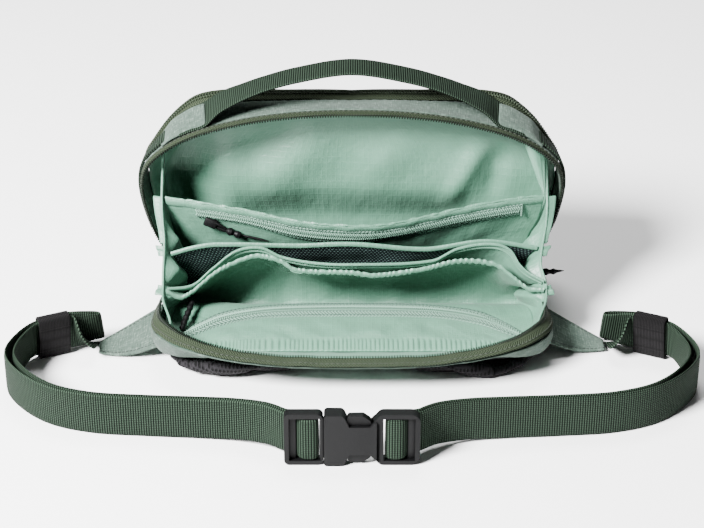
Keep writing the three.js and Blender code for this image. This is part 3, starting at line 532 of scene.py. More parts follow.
def rim_point(u, allowance):
    """Edge of the panel, up one side, over the top, down the other side and back along the bottom."""
    if u < 1 - BOTTOM_SHARE:
        t = u / (1 - BOTTOM_SHARE)
        z = hoop.at(t).z
        at_zip = smooth(z, *RIM_AT_ZIP_Z)
        return shell_point(t, rim_y(z) - allowance * at_zip, lerp(RIM_INSET, RIM_INSET_AT_ZIP, at_zip))
    share = (u - 1 + BOTTOM_SHARE) / BOTTOM_SHARE
    return shell_point(1, rim_y(0), RIM_INSET).lerp(shell_point(0, rim_y(0), RIM_INSET), share)


def front_panel_point(u, v):
    """From the panel's middle in v = 0 to its rim, with the seam allowance as the last row."""
    out = v * PANEL_ROWS / (PANEL_ROWS - 1)
    if out > 1.01:
        return rim_point(u, SEAM_ALLOWANCE)
    rim = rim_point(u, 0)
    place = FRONT_PANEL_MIDDLE.lerp(rim, out)
    place.y = lerp(FRONT_PANEL_MIDDLE.y, rim.y, out ** PANEL_ROUND)
    return place


thicken(new_piece("front_panel_cloth", cloth_mesh(front_panel_point, 120, PANEL_ROWS, closed=True), heather,
                  "heather", "front_panel"), SHELL)

# Lower sides: heather cloth from the bottom seam up to the zip ends, reaching back to the flap's fold below them.
# The upper edge of each is tucked under the end of the front zip.
SIDES = (("left", -1), ("right", 1))
SIDE_HEIGHTS = [2.2, 8, 15, 21, 26, 31, 35, 37, 38.2, 46, 56, 66, 76, 82, 85.2]
SIDE_TUCK = 0.6
SIDE_TUCK_Z = (81.5, 83.5)
ZIP_END_Z = 37
BESIDE_FOLD_Z = (20, ZIP_END_Z)
BESIDE_STRIP_Z = (ZIP_END_Z, 38.2)
BOTTOM_BACK_Y = -25
FOLD_OVERLAP = 1


def mirrored(vector, mirror):
    return Vector((mirror * vector.x, vector.y, vector.z))


def side_point(u, v):
    """Place on the left one, up in u and from the viewer's side to the front panel in v."""
    height = float(np.interp(u * (len(SIDE_HEIGHTS) - 1), range(len(SIDE_HEIGHTS)), SIDE_HEIGHTS))
    along_fold = lerp(BOTTOM_BACK_Y - FOLD_OVERLAP, -FOLD_OVERLAP, smooth(height, *BESIDE_FOLD_Z))
    back_y = lerp(along_fold, STRIP_FRONT_Y + SEAM_GAP, smooth(height, *BESIDE_STRIP_Z))
    depth = SHELL / 2 + SIDE_TUCK * smooth(height, *SIDE_TUCK_Z)
    return shell_point(hoop_at_height(height), lerp(back_y, rim_y(height) - SEAM_GAP, v), depth)


for side, mirror in SIDES:
    thicken(new_piece(f"side_panel_{side}_cloth", cloth_mesh(
        lambda u, v: mirrored(side_point(u, v), -mirror), 39, 10), heather, "heather", f"side_panel_{side}"), SHELL)

# Bottom panel: the flat heather panel with rounded corners that the pack stands on.
# It is sewn to the front panel and the sides, and its near edge runs under the foot of the flap.
BOTTOM_HALF = 98.5
BOTTOM_NEAR_Y = BOTTOM_BACK_Y - 3
BOTTOM_CORNER = 8


def bottom_point(u, v):
    y = lerp(BOTTOM_NEAR_Y, BOTTOM_FRONT_Y, v)
    short = max(BOTTOM_CORNER - (y - BOTTOM_NEAR_Y), BOTTOM_CORNER - (BOTTOM_FRONT_Y - y), 0)
    half = BOTTOM_HALF - BOTTOM_CORNER + math.sqrt(max(BOTTOM_CORNER ** 2 - short ** 2, 0))
    return Vector((lerp(-half, half, u), y, SHELL / 2))


thicken(new_piece("bottom_panel_cloth", cloth_mesh(bottom_point, 60, 40), heather, "heather", "bottom_panel"), SHELL)

# Far wall: the lining between the main compartment and the front pocket, hanging inside the upright outline.
# Satin mint ripstop with a fine grid of thicker threads. Slack folds run down from its upper edge, its foot
# sags back at the middle, and its left side falls back into the pocket behind it.
LINING = 1.0
FAR_WALL_Y = 14.5
WALL_INSET = 3.6
WALL_FOLDS = {
    "from_x": [78, 90, 38, -18, -34, 8],
    "from_z": [98, 94, 106, 104, 108, 84],
    "to_x": [58, 83, 8, -52, -66, -30],
    "to_z": [60, 64, 74, 72, 86, 56],
    "wide": [6, 7, 13, 12, 10, 16],
    "deep": [-3.6, 3.4, -2.6, -2.4, 2.6, 2.2],
}
WALL_CORNER = {"deep": 9, "left_of": (72, 98), "above": (30, 60)}
WALL_BELLY = {"deep": 12, "below": (-70, -42), "within": (50, 100)}
WALL_SEWN = {"side": 0.06, "top": 0.12}
WALL_DRAPE = {"size": 30, "deep": 0.8}
# The grid colour is a painted highlight on the raised grid threads, and the deep colour is painted shade in the
# hollows of the puckers.
MINT = {"face": (0.070, 0.170, 0.114, 1), "grid": (0.096, 0.214, 0.149, 1), "deep": (0.057, 0.145, 0.095, 1)}

# Ripstop: plain threads with a thicker one at each grid line, and the cloth's small puckers between them.
GRID_PITCH = 0.0026
GRID_LINE = 0.12
THREAD_PITCH = 0.0006
PUCKERS_PER_METRE = 150
ripstop, ripstop_in, ripstop_out = new_group(
    "ripstop_grid", [("Flat", "NodeSocketVector", None)],
    [("Line", "NodeSocketFloat"), ("Height", "NodeSocketFloat"), ("Pucker", "NodeSocketFloat")])
ripstop_axes = axes_of(ripstop, ripstop_in.outputs["Flat"])
lines = []
fine_waves = []
for axis in ("X", "Y"):
    within = math_node(ripstop, "FRACT", math_node(ripstop, "DIVIDE", ripstop_axes[axis], GRID_PITCH))
    from_line = math_node(ripstop, "ABSOLUTE", math_node(ripstop, "SUBTRACT", within, 0.5))
    lines.append(math_node(ripstop, "MULTIPLY_ADD", from_line, -1 / GRID_LINE, 1, clamp=True))
    turns = math_node(ripstop, "MULTIPLY", ripstop_axes[axis], 2 * math.pi / THREAD_PITCH)
    fine_waves.append(math_node(ripstop, "SINE", turns))
line = math_node(ripstop, "MAXIMUM", *lines)
ripstop.links.new(line, ripstop_out.inputs["Line"])
plain = math_node(ripstop, "MULTIPLY", *fine_waves)
ripstop.links.new(math_node(ripstop, "MULTIPLY_ADD", plain, 0.25, line), ripstop_out.inputs["Height"])
ripstop.links.new(noise_node(ripstop, ripstop_in.outputs["Flat"], PUCKERS_PER_METRE), ripstop_out.inputs["Pucker"])

mint, mint_tree, mint_shader, flat = new_finish("mint_ripstop", 0.38, 0.42)
grid = add_group(mint_tree, ripstop, Flat=flat)
# Painted light: raised grid lines are tinted lighter, and the low places of the puckers are tinted darker as shade.
grid_highlight_share = math_node(mint_tree, "MULTIPLY", grid.outputs["Line"], 0.3)
pucker_hollow_shade = math_node(mint_tree, "MULTIPLY_ADD", grid.outputs["Pucker"], -1.4, 0.9, clamp=True)
tint(mint_tree, mint_shader, pucker_hollow_shade, mix_colour(mint_tree, grid_highlight_share, MINT["face"], MINT["grid"]), MINT["deep"])
mint_shader.inputs["Sheen Weight"].default_value = 0.05
puckered = add_relief(mint_tree, mint_shader, grid.outputs["Pucker"], 0.0006)
add_relief(mint_tree, mint_shader, grid.outputs["Height"], 0.00006, puckered)


def mint_piece(name, bm, *nodes):
    return new_piece(name, bm, mint, "mint_lining", *nodes)


def drape_noise(place, size, depth):
    return depth * noise.noise(place / size)


def fold_depth(x, z):
    """Depth of the slack folds at a place on the wall; each is a soft ridge or valley along a line."""
    depth = 0.0
    for from_x, from_z, to_x, to_z, wide, deep in zip(*WALL_FOLDS.values()):
        run = Vector((to_x - from_x, to_z - from_z))
        away = Vector((x - from_x, z - from_z))
        share = away.dot(run) / run.length_squared
        aside = abs(run.x * away.y - run.y * away.x) / run.length
        fade = smooth(share, -0.3, 0.3) * (1 - smooth(share, 0.7, 1.3))
        depth += deep * fade * math.exp(-(aside / wide) ** 2)
    return depth


def far_wall_point(u, v):
    edge = hoop_point(lerp(0, 0.5, v), -WALL_INSET)
    x = lerp(edge.x, -edge.x, u)
    slack = smooth(min(u, 1 - u), 0, WALL_SEWN["side"]) * smooth(1 - v, 0, WALL_SEWN["top"])
    corner = WALL_CORNER["deep"] * smooth(-x, *WALL_CORNER["left_of"]) * smooth(edge.z, *WALL_CORNER["above"])
    belly = WALL_BELLY["deep"] * smooth(-edge.z, *WALL_BELLY["below"]) * (1 - smooth(abs(x), *WALL_BELLY["within"]))
    return Vector((x, FAR_WALL_Y + slack * (fold_depth(x, edge.z) + corner + belly), edge.z))


far_wall = thicken(mint_piece("far_wall_lining", cloth_mesh(
    far_wall_point, 90, 70, relief=lambda u, v, place: drape_noise(place, *WALL_DRAPE.values())), "far_wall"), LINING)

# Main zip, upper tape: the olive tape that stands forward from the upright lip, with half of the open zip's teeth.
# A woven tape sewn to the strip's edge along a stitched seam; the teeth are moulded on its free near edge.
TAPE_WIDTH = 8
UPPER_TAPE_WIDTH = 5.8
UPPER_TAPE_LEAN = math.radians(10)
UPPER_TEETH = {"beyond": 0.2, "lift": 0.1}
UPPER_SEAM = {"inset": 1.8, "lift": TAPE / 2 + 0.1}
TOOTH = (0.8, 2.3, 1.6)
TOOTH_PITCH = 1.55
TOOTH_ROUND = 0.22
STITCH = (2.2, 0.5, 0.5)
STITCH_PITCH = 3.0
teeth = plain_finish("zip_teeth", (0.005, 0.008, 0.005, 1), 0.42, 0.12)
thread = plain_finish("olive_thread", (0.014, 0.020, 0.012, 1), 0.8)


def ribbon_mesh(place, across, width, columns, rows):
    """Ribbon along place(u), with its width along across(u)."""
    return cloth_mesh(lambda u, v: place(u) + across(u) * (v - 0.5) * width, columns, rows)


def spaced(place, count, up):
    """Stations at even shares along place(u), each with the way ahead and the way up."""
    look = 0.001
    stations = []
    for n in range(count):
        u = (n + 0.5) / count
        ahead = (place(min(u + look, 1)) - place(max(u - look, 0))).normalized()
        stations.append((place(u), ahead, up(u)))
    return stations


def upper_tape_up(u):
    return hoop_outward(strip_t(u))


def upper_tape_across(u):
    return math.sin(UPPER_TAPE_LEAN) * upper_tape_up(u) + Vector((0, math.cos(UPPER_TAPE_LEAN), 0))


def upper_tape_place(u, inset=UPPER_TAPE_WIDTH / 2, lift=0.0):
    return hoop_point(strip_t(u), lift - TAPE / 2) - (inset + SEAM_GAP / 2) * upper_tape_across(u)


def add_zip_half(name, place, across, width, columns, length, up, teeth_at, seam_at):
    """One half of the main zip: its tape, its teeth and the stitches that hold it, at insets and lifts."""
    thicken(new_piece(f"{name}_tape", ribbon_mesh(place, across, width, columns, 4), olive, "olive_tape", name), TAPE)
    rows = spaced(lambda u: place(u, *teeth_at), int(length / TOOTH_PITCH), up)
    new_piece(f"{name}_teeth", block_mesh(rows, TOOTH, TOOTH_ROUND), teeth, "olive_tape")
    rows = spaced(lambda u: place(u, *seam_at), int(length / STITCH_PITCH), up)
    new_piece(f"{name}_stitches", block_mesh(rows, STITCH), thread, "olive_tape")


add_zip_half("main_zip_upper", upper_tape_place, upper_tape_across, UPPER_TAPE_WIDTH, 220,
             hoop.length * (1 - 2 * strip_end), upper_tape_up,
             (UPPER_TAPE_WIDTH + UPPER_TEETH["beyond"], UPPER_TEETH["lift"]), UPPER_SEAM.values())

# Flap strip: the grey-green strip that stands round the open back panel, tucked under at the near edge.
# Heather cloth sewn to the flap's panel below and to the lower zip tape above, softly creased.
FLAP_LIP = [(112, -27.8, 23.5), (115.5, -54, 27), (115, -79, 29), (105, -97, 28.5), (88, -109, 26.5), (55, -117, 23)]
FLAP_LIP_NEAR = (0, -119, 21.5)
STRIP_TUCK = {"y": [-119.1, -117, -109, -97, -79, -60, -27], "tuck": [20, 19, 13, 7, 3, 2.5, 2.5],
              "foot": [15, 15, 14.5, 12, 9, 9, 9]}
STRIP_BOW = 1.5
STRIP_TURN = 0.5
STRIP_TURN_TUCK = (8, 20)
STRIP_DRAPE = {"size": 9, "deep": 0.5}
TAPE_BANK = {"y": [-119.1, -109, -97, -79, -54, -27], "degrees": [9, 15, 27, 46, 62, 66]}

lip = Path([*((-x, y, z) for x, y, z in FLAP_LIP), FLAP_LIP_NEAR, *reversed(FLAP_LIP)])


def lip_inward(t):
    ahead = lip.ahead(t)
    return Vector((-ahead.y, ahead.x, 0)).normalized()


def tape_bank(u):
    """How far the lower tape leans outwards, from lying at the near edge to standing at its ends."""
    return math.radians(read_table(TAPE_BANK, "y", "degrees", lip.at(u).y))


def strip_tuck(u):
    return read_table(STRIP_TUCK, "y", "tuck", lip.at(u).y)


def back_strip_point(u, v):
    place = lip.at(u)
    upper = place.z - TAPE - SEAM_GAP - TAPE_WIDTH * math.sin(tape_bank(u))
    height = lerp(upper, read_table(STRIP_TUCK, "y", "foot", place.y), v)
    tuck = strip_tuck(u)
    turned = lerp(v, v ** STRIP_TURN, smooth(tuck, *STRIP_TURN_TUCK))
    place += (SHELL / 2 + tuck * turned - STRIP_BOW * math.sin(math.pi * v)) * lip_inward(u)
    place.z = height
    return place


thicken(new_piece("flap_strip_cloth", cloth_mesh(
    back_strip_point, 200, 10, relief=lambda u, v, place: drape_noise(place, *STRIP_DRAPE.values())),
    heather, "heather", "back_strip"), SHELL)

# Flap panel: black spacer mesh laid down as the tray's floor, in one piece from the bottom seam to the strip.
# A knitted mesh of small round openings in rows, 2 mm thick.
FLAP_SECTION = {"y": [-125, -84, -70, -56, -46, -38, -31, -25], "z": [10, 10, 10.5, 12.5, 14.5, 14, 10, 3.5]}
FLAP_HALF = {"y": [-110, -55, -40, -25], "half": [109, 109, 106, 98]}
FLAP_EDGE = {"x": [0, 50, 80, 97, 109], "y": [-93, -92.8, -91.5, -86.5, -75]}
FLAP_REACH = 109
BACK_PANEL = 2
# The hole colour is painted shade, the darkness down in the mesh's openings.
AIR_MESH = {"yarn": (0.012, 0.011, 0.0125, 1), "hole_lighting": (0.002, 0.002, 0.002, 1)}

# Rows of round openings in a knit, as a mask of the openings and the yarn's height around them.
knit, knit_in, knit_out = new_group(
    "knit_openings", [("Flat", "NodeSocketVector", None), ("Pitch", "NodeSocketFloat", 0.002)],
    [("Hole", "NodeSocketFloat"), ("Height", "NodeSocketFloat")])
knit_place = knit.nodes.new("ShaderNodeVectorMath")
knit_place.operation = "SCALE"
knit.links.new(knit_in.outputs["Flat"], knit_place.inputs[0])
knit.links.new(math_node(knit, "DIVIDE", 1, knit_in.outputs["Pitch"]), knit_place.inputs["Scale"])
knit_axes = axes_of(knit, knit_place.outputs[0])
row_number = math_node(knit, "FLOOR", knit_axes["Y"])
shifted = math_node(knit, "MULTIPLY_ADD", row_number, 0.5, knit_axes["X"])
from_centre = [math_node(knit, "SUBTRACT", math_node(knit, "FRACT", value), 0.5)
               for value in (shifted, knit_axes["Y"])]
squares = [math_node(knit, "MULTIPLY", value, value) for value in from_centre]
radius = math_node(knit, "SQRT", math_node(knit, "ADD", *squares))
knit_height = math_node(knit, "MULTIPLY_ADD", radius, 4, -0.7, clamp=True)
knit.links.new(knit_height, knit_out.inputs["Height"])
knit.links.new(math_node(knit, "SUBTRACT", 1, knit_height), knit_out.inputs["Hole"])

air_mesh, air_tree, air_shader, flat = new_finish("air_mesh", 0.8, 0.1)
knitted = add_group(air_tree, knit, Flat=flat, Pitch=0.0019)
# Painted shade in the mesh's openings.
tint(air_tree, air_shader, knitted.outputs["Hole"], AIR_MESH["yarn"], AIR_MESH["hole_lighting"])
add_relief(air_tree, air_shader, knitted.outputs["Height"], 0.0006)


def flap_edge(share):
    return read_table(FLAP_EDGE, "x", "y", abs(share) * FLAP_REACH)


def flap_at(share, y):
    return Vector((share * read_table(FLAP_HALF, "y", "half", y), y, read_table(FLAP_SECTION, "y", "z", y)))


def flap_point(u, v):
    share = 2 * u - 1
    return flap_at(share, lerp(BOTTOM_BACK_Y, flap_edge(share), v))


thicken(new_piece("flap_panel_mesh", cloth_mesh(flap_point, 60, 30), air_mesh, "air_mesh", "back_panel"), BACK_PANEL)

# Flap lining: the mint ripstop on the flap's inner face, slack enough to crease.
# It is cut a little smaller than the panel and held at its edges.
LINING_LIFT = 2.3
LINING_ACROSS = (0.99, 0.01)
LINING_ALONG = (0.02, 0.99)
LINING_DRAPE = {"size": 17, "deep": 2.0}
LINING_LOWEST = -0.8


def lining_point(u, v):
    return flap_point(lerp(*LINING_ACROSS, u), lerp(*LINING_ALONG, v))


def lining_relief(u, v, place):
    slack = math.sin(math.pi * v)
    return LINING_LIFT + slack * max(drape_noise(place, *LINING_DRAPE.values()), LINING_LOWEST)


back_lining = thicken(mint_piece("flap_lining", cloth_mesh(
    lining_point, 90, 36, relief=lining_relief), "back_lining"), LINING)

# Tray wall: the lining inside the flap's strip, sewn under the zip tape and turned in beneath the flap's lining.
# Mint ripstop that stands clear of the strip, also above the part that is tucked under.
WALL_OFF_STRIP = 1.7
WALL_OVER_STRIP = {"more": 1.7, "tuck": (4, 16), "down": (0.05, 0.3)}
WALL_SHARE = 0.92
WALL_TURN_IN = 13
WALL_TURN_FROM = 0.55
WALL_FOOT_Z = 11.2
TRAY_DRAPE = {"size": 10, "deep": 0.5}


def tray_wall_point(u, v):
    place = back_strip_point(u, WALL_SHARE * v) + WALL_OFF_STRIP * lip_inward(u)
    turn = smooth(v, WALL_TURN_FROM, 1)
    over = WALL_OVER_STRIP["more"] * smooth(strip_tuck(u), *WALL_OVER_STRIP["tuck"])
    place.z += over * smooth(v, *WALL_OVER_STRIP["down"])
    place += WALL_TURN_IN * turn * lip_inward(u)
    place.z = lerp(place.z, WALL_FOOT_Z, turn)
    return place


tray_wall = thicken(mint_piece("tray_wall_lining", cloth_mesh(
    tray_wall_point, 160, 16, relief=lambda u, v, place: drape_noise(place, *TRAY_DRAPE.values()))), LINING)

# Pocket on the flap: a mint panel under an arched zip, its near edge gathered into a band of small pleats.
# The zip's two tapes and its coil are of one mint colour, and a row of stitches runs along each side of it.
POCKET_ZIP = {"share": [0, 0.3, 0.5, 0.7, 0.82, 0.92], "far": [-41, -42, -44.5, -50, -59.5, -71],
              "near": [-54.5, -55, -56.5, -63, -71.5, -80]}
POCKET_REACH = 0.92
POCKET_NEAR = 0.965
POCKET_LIFT = 4.2
POCKET_SWELL = 2.2
POCKET_UNDER_ZIP = {"along": 1.5, "deep": 0.5}
POCKET_ZIP_CROWN = 0.6
POCKET_DRAPE = {"size": 13, "deep": 1.3}
GATHERS = 74
GATHER_DEPTH = 0.4
GATHER_BAND = (0.66, 0.78)
GATHER_FLATTER = {"share": 0.7, "from": (0.93, 1)}
GATHER_WANDER = {"gathers": 1.7, "size": 9}
MINT_COIL_PITCH = 1.3
# The groove colour is painted shade, the darkness down between the mint tape's cords.
MINT_TAPE = {"face": (0.128, 0.238, 0.178, 1), "groove_shade": (0.022, 0.060, 0.040, 1)}
MINT_STITCH = (1.7, 0.45, 0.4)

mint_tape, mint_tape_tree, mint_tape_shader, flat = new_finish("mint_zip_tape", 0.75)
chevrons = add_group(mint_tape_tree, tape_weave, Flat=scaled(mint_tape_tree, flat, 0.75, 0.75))
# Painted shade: the mint tape is darkened down its grooves.
tint(mint_tape_tree, mint_tape_shader, math_node(mint_tape_tree, "MULTIPLY", chevrons.outputs["Groove_shade"], 0.85),
     MINT_TAPE["face"], MINT_TAPE["groove_shade"])
add_relief(mint_tape_tree, mint_tape_shader, chevrons.outputs["Height"], 0.0004)
mint_coil = plain_finish("mint_coil", (0.125, 0.238, 0.176, 1), 0.5)
# The stitch thread is painted darker than the lining, as the shade along the stitch lines.
mint_thread_painted_shade = plain_finish("mint_thread_painted_shade", (0.024, 0.066, 0.045, 1), 0.8)
upwards = Vector((0, 0, 1))


def pocket_seam_y(share, side):
    return read_table(POCKET_ZIP, "share", side, abs(share))


def pocket_zip_place(u, v, lift=0.0):
    share = lerp(-POCKET_REACH, POCKET_REACH, u)
    place = flap_at(share, lerp(pocket_seam_y(share, "far"), pocket_seam_y(share, "near"), v))
    place.z += POCKET_LIFT + lift + POCKET_ZIP_CROWN * math.sin(math.pi * v)
    return place


def pocket_point(u, v):
    share = lerp(-POCKET_REACH, POCKET_REACH, u)
    seam_y = pocket_seam_y(share, "near") + POCKET_UNDER_ZIP["along"]
    place = flap_at(share, lerp(seam_y, flap_edge(share) * POCKET_NEAR, v))
    swell = POCKET_SWELL * math.sin(math.pi * v) * (1 - share ** 4)
    place.z += POCKET_LIFT - POCKET_UNDER_ZIP["deep"] + swell
    return place


def gather_relief(u, v, place):
    near_band = smooth(v, *GATHER_BAND) * (1 - GATHER_FLATTER["share"] * smooth(v, *GATHER_FLATTER["from"]))
    wander = GATHER_WANDER["gathers"] * noise.noise(Vector((u * GATHER_WANDER["size"], 0.5, 0.5)))
    slack = drape_noise(place, *POCKET_DRAPE.values()) * math.sin(math.pi * v) * (1 - near_band)
    return slack - GATHER_DEPTH * near_band * math.sin(2 * math.pi * (GATHERS * u + wander))


def mint_coil_ribs(place, up, rows):
    """Stations of slanted ribs along place(u, v), in rows at shares v that slant opposite ways."""
    look = 0.002
    length = run_length(lambda u: place(u, 0.5))
    stations = []
    for rib in range(int(length / MINT_COIL_PITCH)):
        u = (rib + 0.5) * MINT_COIL_PITCH / length
        ahead = (place(min(u + look, 1), 0.5) - place(max(u - look, 0), 0.5)).normalized()
        for row, slant in zip(rows, (COIL_SLANT, -COIL_SLANT)):
            stations.append((place(u, row), Matrix.Rotation(slant, 3, up) @ ahead, up))
    return stations


def add_mint_zip(name, place, up, mesh_rows, thick, coil_lift, rib, coil_rows, seam_lift, seam_count, seams):
    """Closed mint zip on place(u, v, lift): its tapes, its coil and the stitches along each side of it."""
    thicken(new_piece(f"{name}_tape", cloth_mesh(place, 160, mesh_rows), mint_tape, "mint_lining"), thick)
    ribs_at = mint_coil_ribs(lambda u, v: place(u, v, coil_lift), up, coil_rows)
    new_piece(f"{name}_coil", block_mesh(ribs_at, rib, COIL_ROUND), mint_coil, "mint_lining")
    for seam, row in seams.items():
        stitches = spaced(lambda u: place(u, row, seam_lift), seam_count, lambda u: up)
        new_piece(f"{name}_stitches_{seam}", block_mesh(stitches, MINT_STITCH), mint_thread_painted_shade, "mint_lining")


back_pocket = thicken(mint_piece("flap_pocket", cloth_mesh(
    pocket_point, 300, 30, relief=gather_relief), "back_pocket"), LINING)
add_mint_zip("flap_pocket_zip", pocket_zip_place, upwards, 8, LINING, coil_lift=0.7, rib=(0.85, 2.7, 0.7),
             coil_rows=(0.41, 0.59), seam_lift=0.6, seam_count=88, seams={"far": 0.12, "near": 0.9})

# Pads: two lobes of air mesh over foam under the flap, which lie on the floor and round out at its near corners.
# Each is cut to its outline, given its height, and blown up by pressure in a cloth simulation between flap and floor.
PAD_OUTLINE = [(16, -80), (16, -46), (94, -46), (106, -60), (106.5, -79), (96, -94), (74, -101), (50, -99), (24, -91)]
PAD_SEGMENTS = 72
PAD_LOW = 1.6
PAD_HIGH = 7.4
PAD_FLOOR = 0.3
PAD_CEILING = 9.2
PAD_ROLL = 4
PAD_ROLL_FROM = (90, 98)
PAD_VOXEL = 0.005
PAD_PRESSURE = 4
PAD_FRAMES = 20
PAD_REACH = 0.006

pad_finish, pad_tree, pad_shader, object_place = new_finish("pad_air_mesh", 0.8, 0.1, "Object")
slanting = pad_tree.nodes.new("ShaderNodeVectorRotate")
slanting.rotation_type = "X_AXIS"
slanting.inputs["Angle"].default_value = math.radians(45)
pad_tree.links.new(object_place, slanting.inputs["Vector"])
knitted = add_group(pad_tree, knit, Flat=slanting.outputs["Vector"], Pitch=0.0022)
# Painted shade in the openings, as on the flap's mesh.
tint(pad_tree, pad_shader, knitted.outputs["Hole"], AIR_MESH["yarn"], AIR_MESH["hole_lighting"])
add_relief(pad_tree, pad_shader, knitted.outputs["Height"], 0.0007)


def evaluated_mesh(piece):
    depsgraph = bpy.context.evaluated_depsgraph_get()
    return bpy.data.meshes.new_from_object(piece.evaluated_get(depsgraph))


def near_roll(y):
    """How far the pad rises beyond the flap panel's near edge."""
    return PAD_ROLL * smooth(-y, *PAD_ROLL_FROM)


def blow_up(piece):
    """Even mesh of a closed piece, filled by pressure; each point's way is kept short and between floor and flap."""
    even = piece.modifiers.new("even mesh", "REMESH")
    even.mode = "VOXEL"
    even.voxel_size = PAD_VOXEL
    piece.data = evaluated_mesh(piece)
    piece.modifiers.clear()
    start = [vert.co.copy() for vert in piece.data.vertices]
    filled = piece.modifiers.new("filling", "CLOTH")
    filled.settings.use_pressure = True
    filled.settings.uniform_pressure_force = PAD_PRESSURE
    filled.settings.effector_weights.gravity = 0
    for moment in range(1, PAD_FRAMES + 1):
        bpy.context.scene.frame_set(moment)
    settled = evaluated_mesh(piece)
    piece.modifiers.clear()
    for vert, before in zip(settled.vertices, start):
        move = vert.co - before
        vert.co = before + move * min(1, PAD_REACH / max(move.length, 1e-9))
        ceiling = PAD_CEILING + near_roll(vert.co.y / MM)
        vert.co.z = min(max(vert.co.z, PAD_FLOOR * MM), ceiling * MM)
    piece.data = settled
    bpy.context.scene.frame_set(1)


for side, mirror in SIDES:
    bm = bmesh.new()
    rim = Path([(mirror * x, y, PAD_LOW) for x, y in [*PAD_OUTLINE, PAD_OUTLINE[0]]])
    cut = bmesh.ops.create_circle(bm, cap_ends=True, segments=PAD_SEGMENTS, radius=1)["verts"]
    for n, vert in enumerate(cut):
        vert.co = rim.at(n / len(cut))
    raised = bmesh.ops.extrude_face_region(bm, geom=bm.faces[:])["geom"]
    for vert in (item for item in raised if isinstance(item, bmesh.types.BMVert)):
        vert.co.z = PAD_HIGH + near_roll(vert.co.y)
    bmesh.ops.recalc_face_normals(bm, faces=bm.faces)
    pad = new_piece(f"pad_{side}", bm, pad_finish, "air_mesh", f"back_pad_{side}")
    blow_up(pad)
    pad.data.shade_smooth()
    soften(pad)

# Main zip, lower tape: the olive tape lying round the flap's strip, with the other half of the teeth.
# It lies flat at the near edge and leans outwards along the sides.
LOWER_TEETH = {"inset": TAPE_WIDTH - 0.2, "lift": 0.2}
LOWER_SEAM = {"inset": 2.2, "lift": TAPE / 2}
LOWER_TAPE_WAVE = {"size": 11, "high": 0.5}


def lower_tape_across(u):
    return math.cos(tape_bank(u)) * lip_inward(u) + math.sin(tape_bank(u)) * upwards


def lower_tape_up(u):
    return lip.ahead(u).cross(lower_tape_across(u)).normalized()


def lower_tape_place(u, inset=TAPE_WIDTH / 2, lift=0.0):
    place = lip.at(u) + inset * lower_tape_across(u) + lift * lower_tape_up(u)
    place.z += drape_noise(lip.at(u), *LOWER_TAPE_WAVE.values()) - TAPE_WIDTH * math.sin(tape_bank(u))
    return place


add_zip_half("main_zip_lower", lower_tape_place, lower_tape_across, TAPE_WIDTH, 200, lip.length, lower_tape_up,
             LOWER_TEETH.values(), LOWER_SEAM.values())

# Gussets: thin mint lining between the flap and the upright half at each side, pulled taut along the upper edge.
# Between the lines where the dividers are sewn on, each falls inwards in pleats. A rolled hem runs along its
# upper edge, and tabs of its seam allowance show outside.
GUSSET = {"y": [13, 4, -19, -28, -40, -50, -56, -66, -80], "bottom": [4, 4, 4.5, 6, 10.5, 13, 12, 11, 10.5],
          "top": [97, 90, 65, 56, 44, 34.5, 31.8, 28.8, 25.5]}
HALF_AT_FOOT = 99
HALF_HIGHER = {"more": 14, "z": (0, 75)}
HALF_NEARER = {"more": 6, "y": (25, 55)}
HALF_END = {"less": 4.5, "y": (56, 80)}
RIGHT_PULL = {"more": 3, "upper_z": (42, 62), "near_y": (39, 50), "near_z": (17, 29)}
PLEAT_FOOT_Z = 6
PLEAT_ANGLES = [103, 127, 149, 163]
PLEAT_DEPTH = 7
PLEAT_GROWS = (12, 45)
PLEAT_TAUT_ABOVE = (0.8, 0.98)
PLEAT_TAUT_NEAR = (48, 57)
GUSSET_DRAPE = {"size": 12, "deep": 1.0}
GUSSET_HEM = 0.75
TABS = {"from_y": [-10, -31.5, -49], "to_y": [-30.5, -36, -55], "from_wide": [6, 6, 3.5], "to_wide": [3.2, 4, 5.5]}
TAB = {"thick": 0.7, "under": 0.5, "sweep": 1.5, "wave": 0.8, "turns": 7}


def gusset_x(y, z, mirror):
    """Half width at a depth and height; the right gusset is pulled further out along its upper edge."""
    x = HALF_AT_FOOT + HALF_HIGHER["more"] * smooth(z, *HALF_HIGHER["z"])
    x += HALF_NEARER["more"] * smooth(-y, *HALF_NEARER["y"])
    x -= HALF_END["less"] * smooth(-y, *HALF_END["y"])
    if mirror > 0:
        near = smooth(-y, *RIGHT_PULL["near_y"]) * smooth(z, *RIGHT_PULL["near_z"])
        x += RIGHT_PULL["more"] * max(smooth(z, *RIGHT_PULL["upper_z"]), near)
    return x


def pleat(y, z):
    """How far the gusset falls inwards, between the lines of two dividers that fan out from one foot."""
    angle = math.degrees(math.atan2(z - PLEAT_FOOT_Z, y))
    for low, high in zip(PLEAT_ANGLES, PLEAT_ANGLES[1:]):
        if low < angle < high:
            across = 1 - abs(2 * (angle - low) / (high - low) - 1)
            return PLEAT_DEPTH * across * smooth(math.hypot(y, z - PLEAT_FOOT_Z), *PLEAT_GROWS)
    return 0


def gusset_point(u, v, mirror):
    y = lerp(GUSSET["y"][0], GUSSET["y"][-1], u)
    z = lerp(read_table(GUSSET, "y", "bottom", y), read_table(GUSSET, "y", "top", y), v)
    inwards = pleat(y, z) * (1 - smooth(v, *PLEAT_TAUT_ABOVE)) * (1 - smooth(-y, *PLEAT_TAUT_NEAR))
    return Vector((mirror * (gusset_x(y, z, mirror) - inwards), y, z))


def gusset_hem_point(u, v, mirror):
    turn = 2 * math.pi * v
    return gusset_point(u, 1, mirror) + GUSSET_HEM * Vector((math.cos(turn), 0, math.sin(turn)))


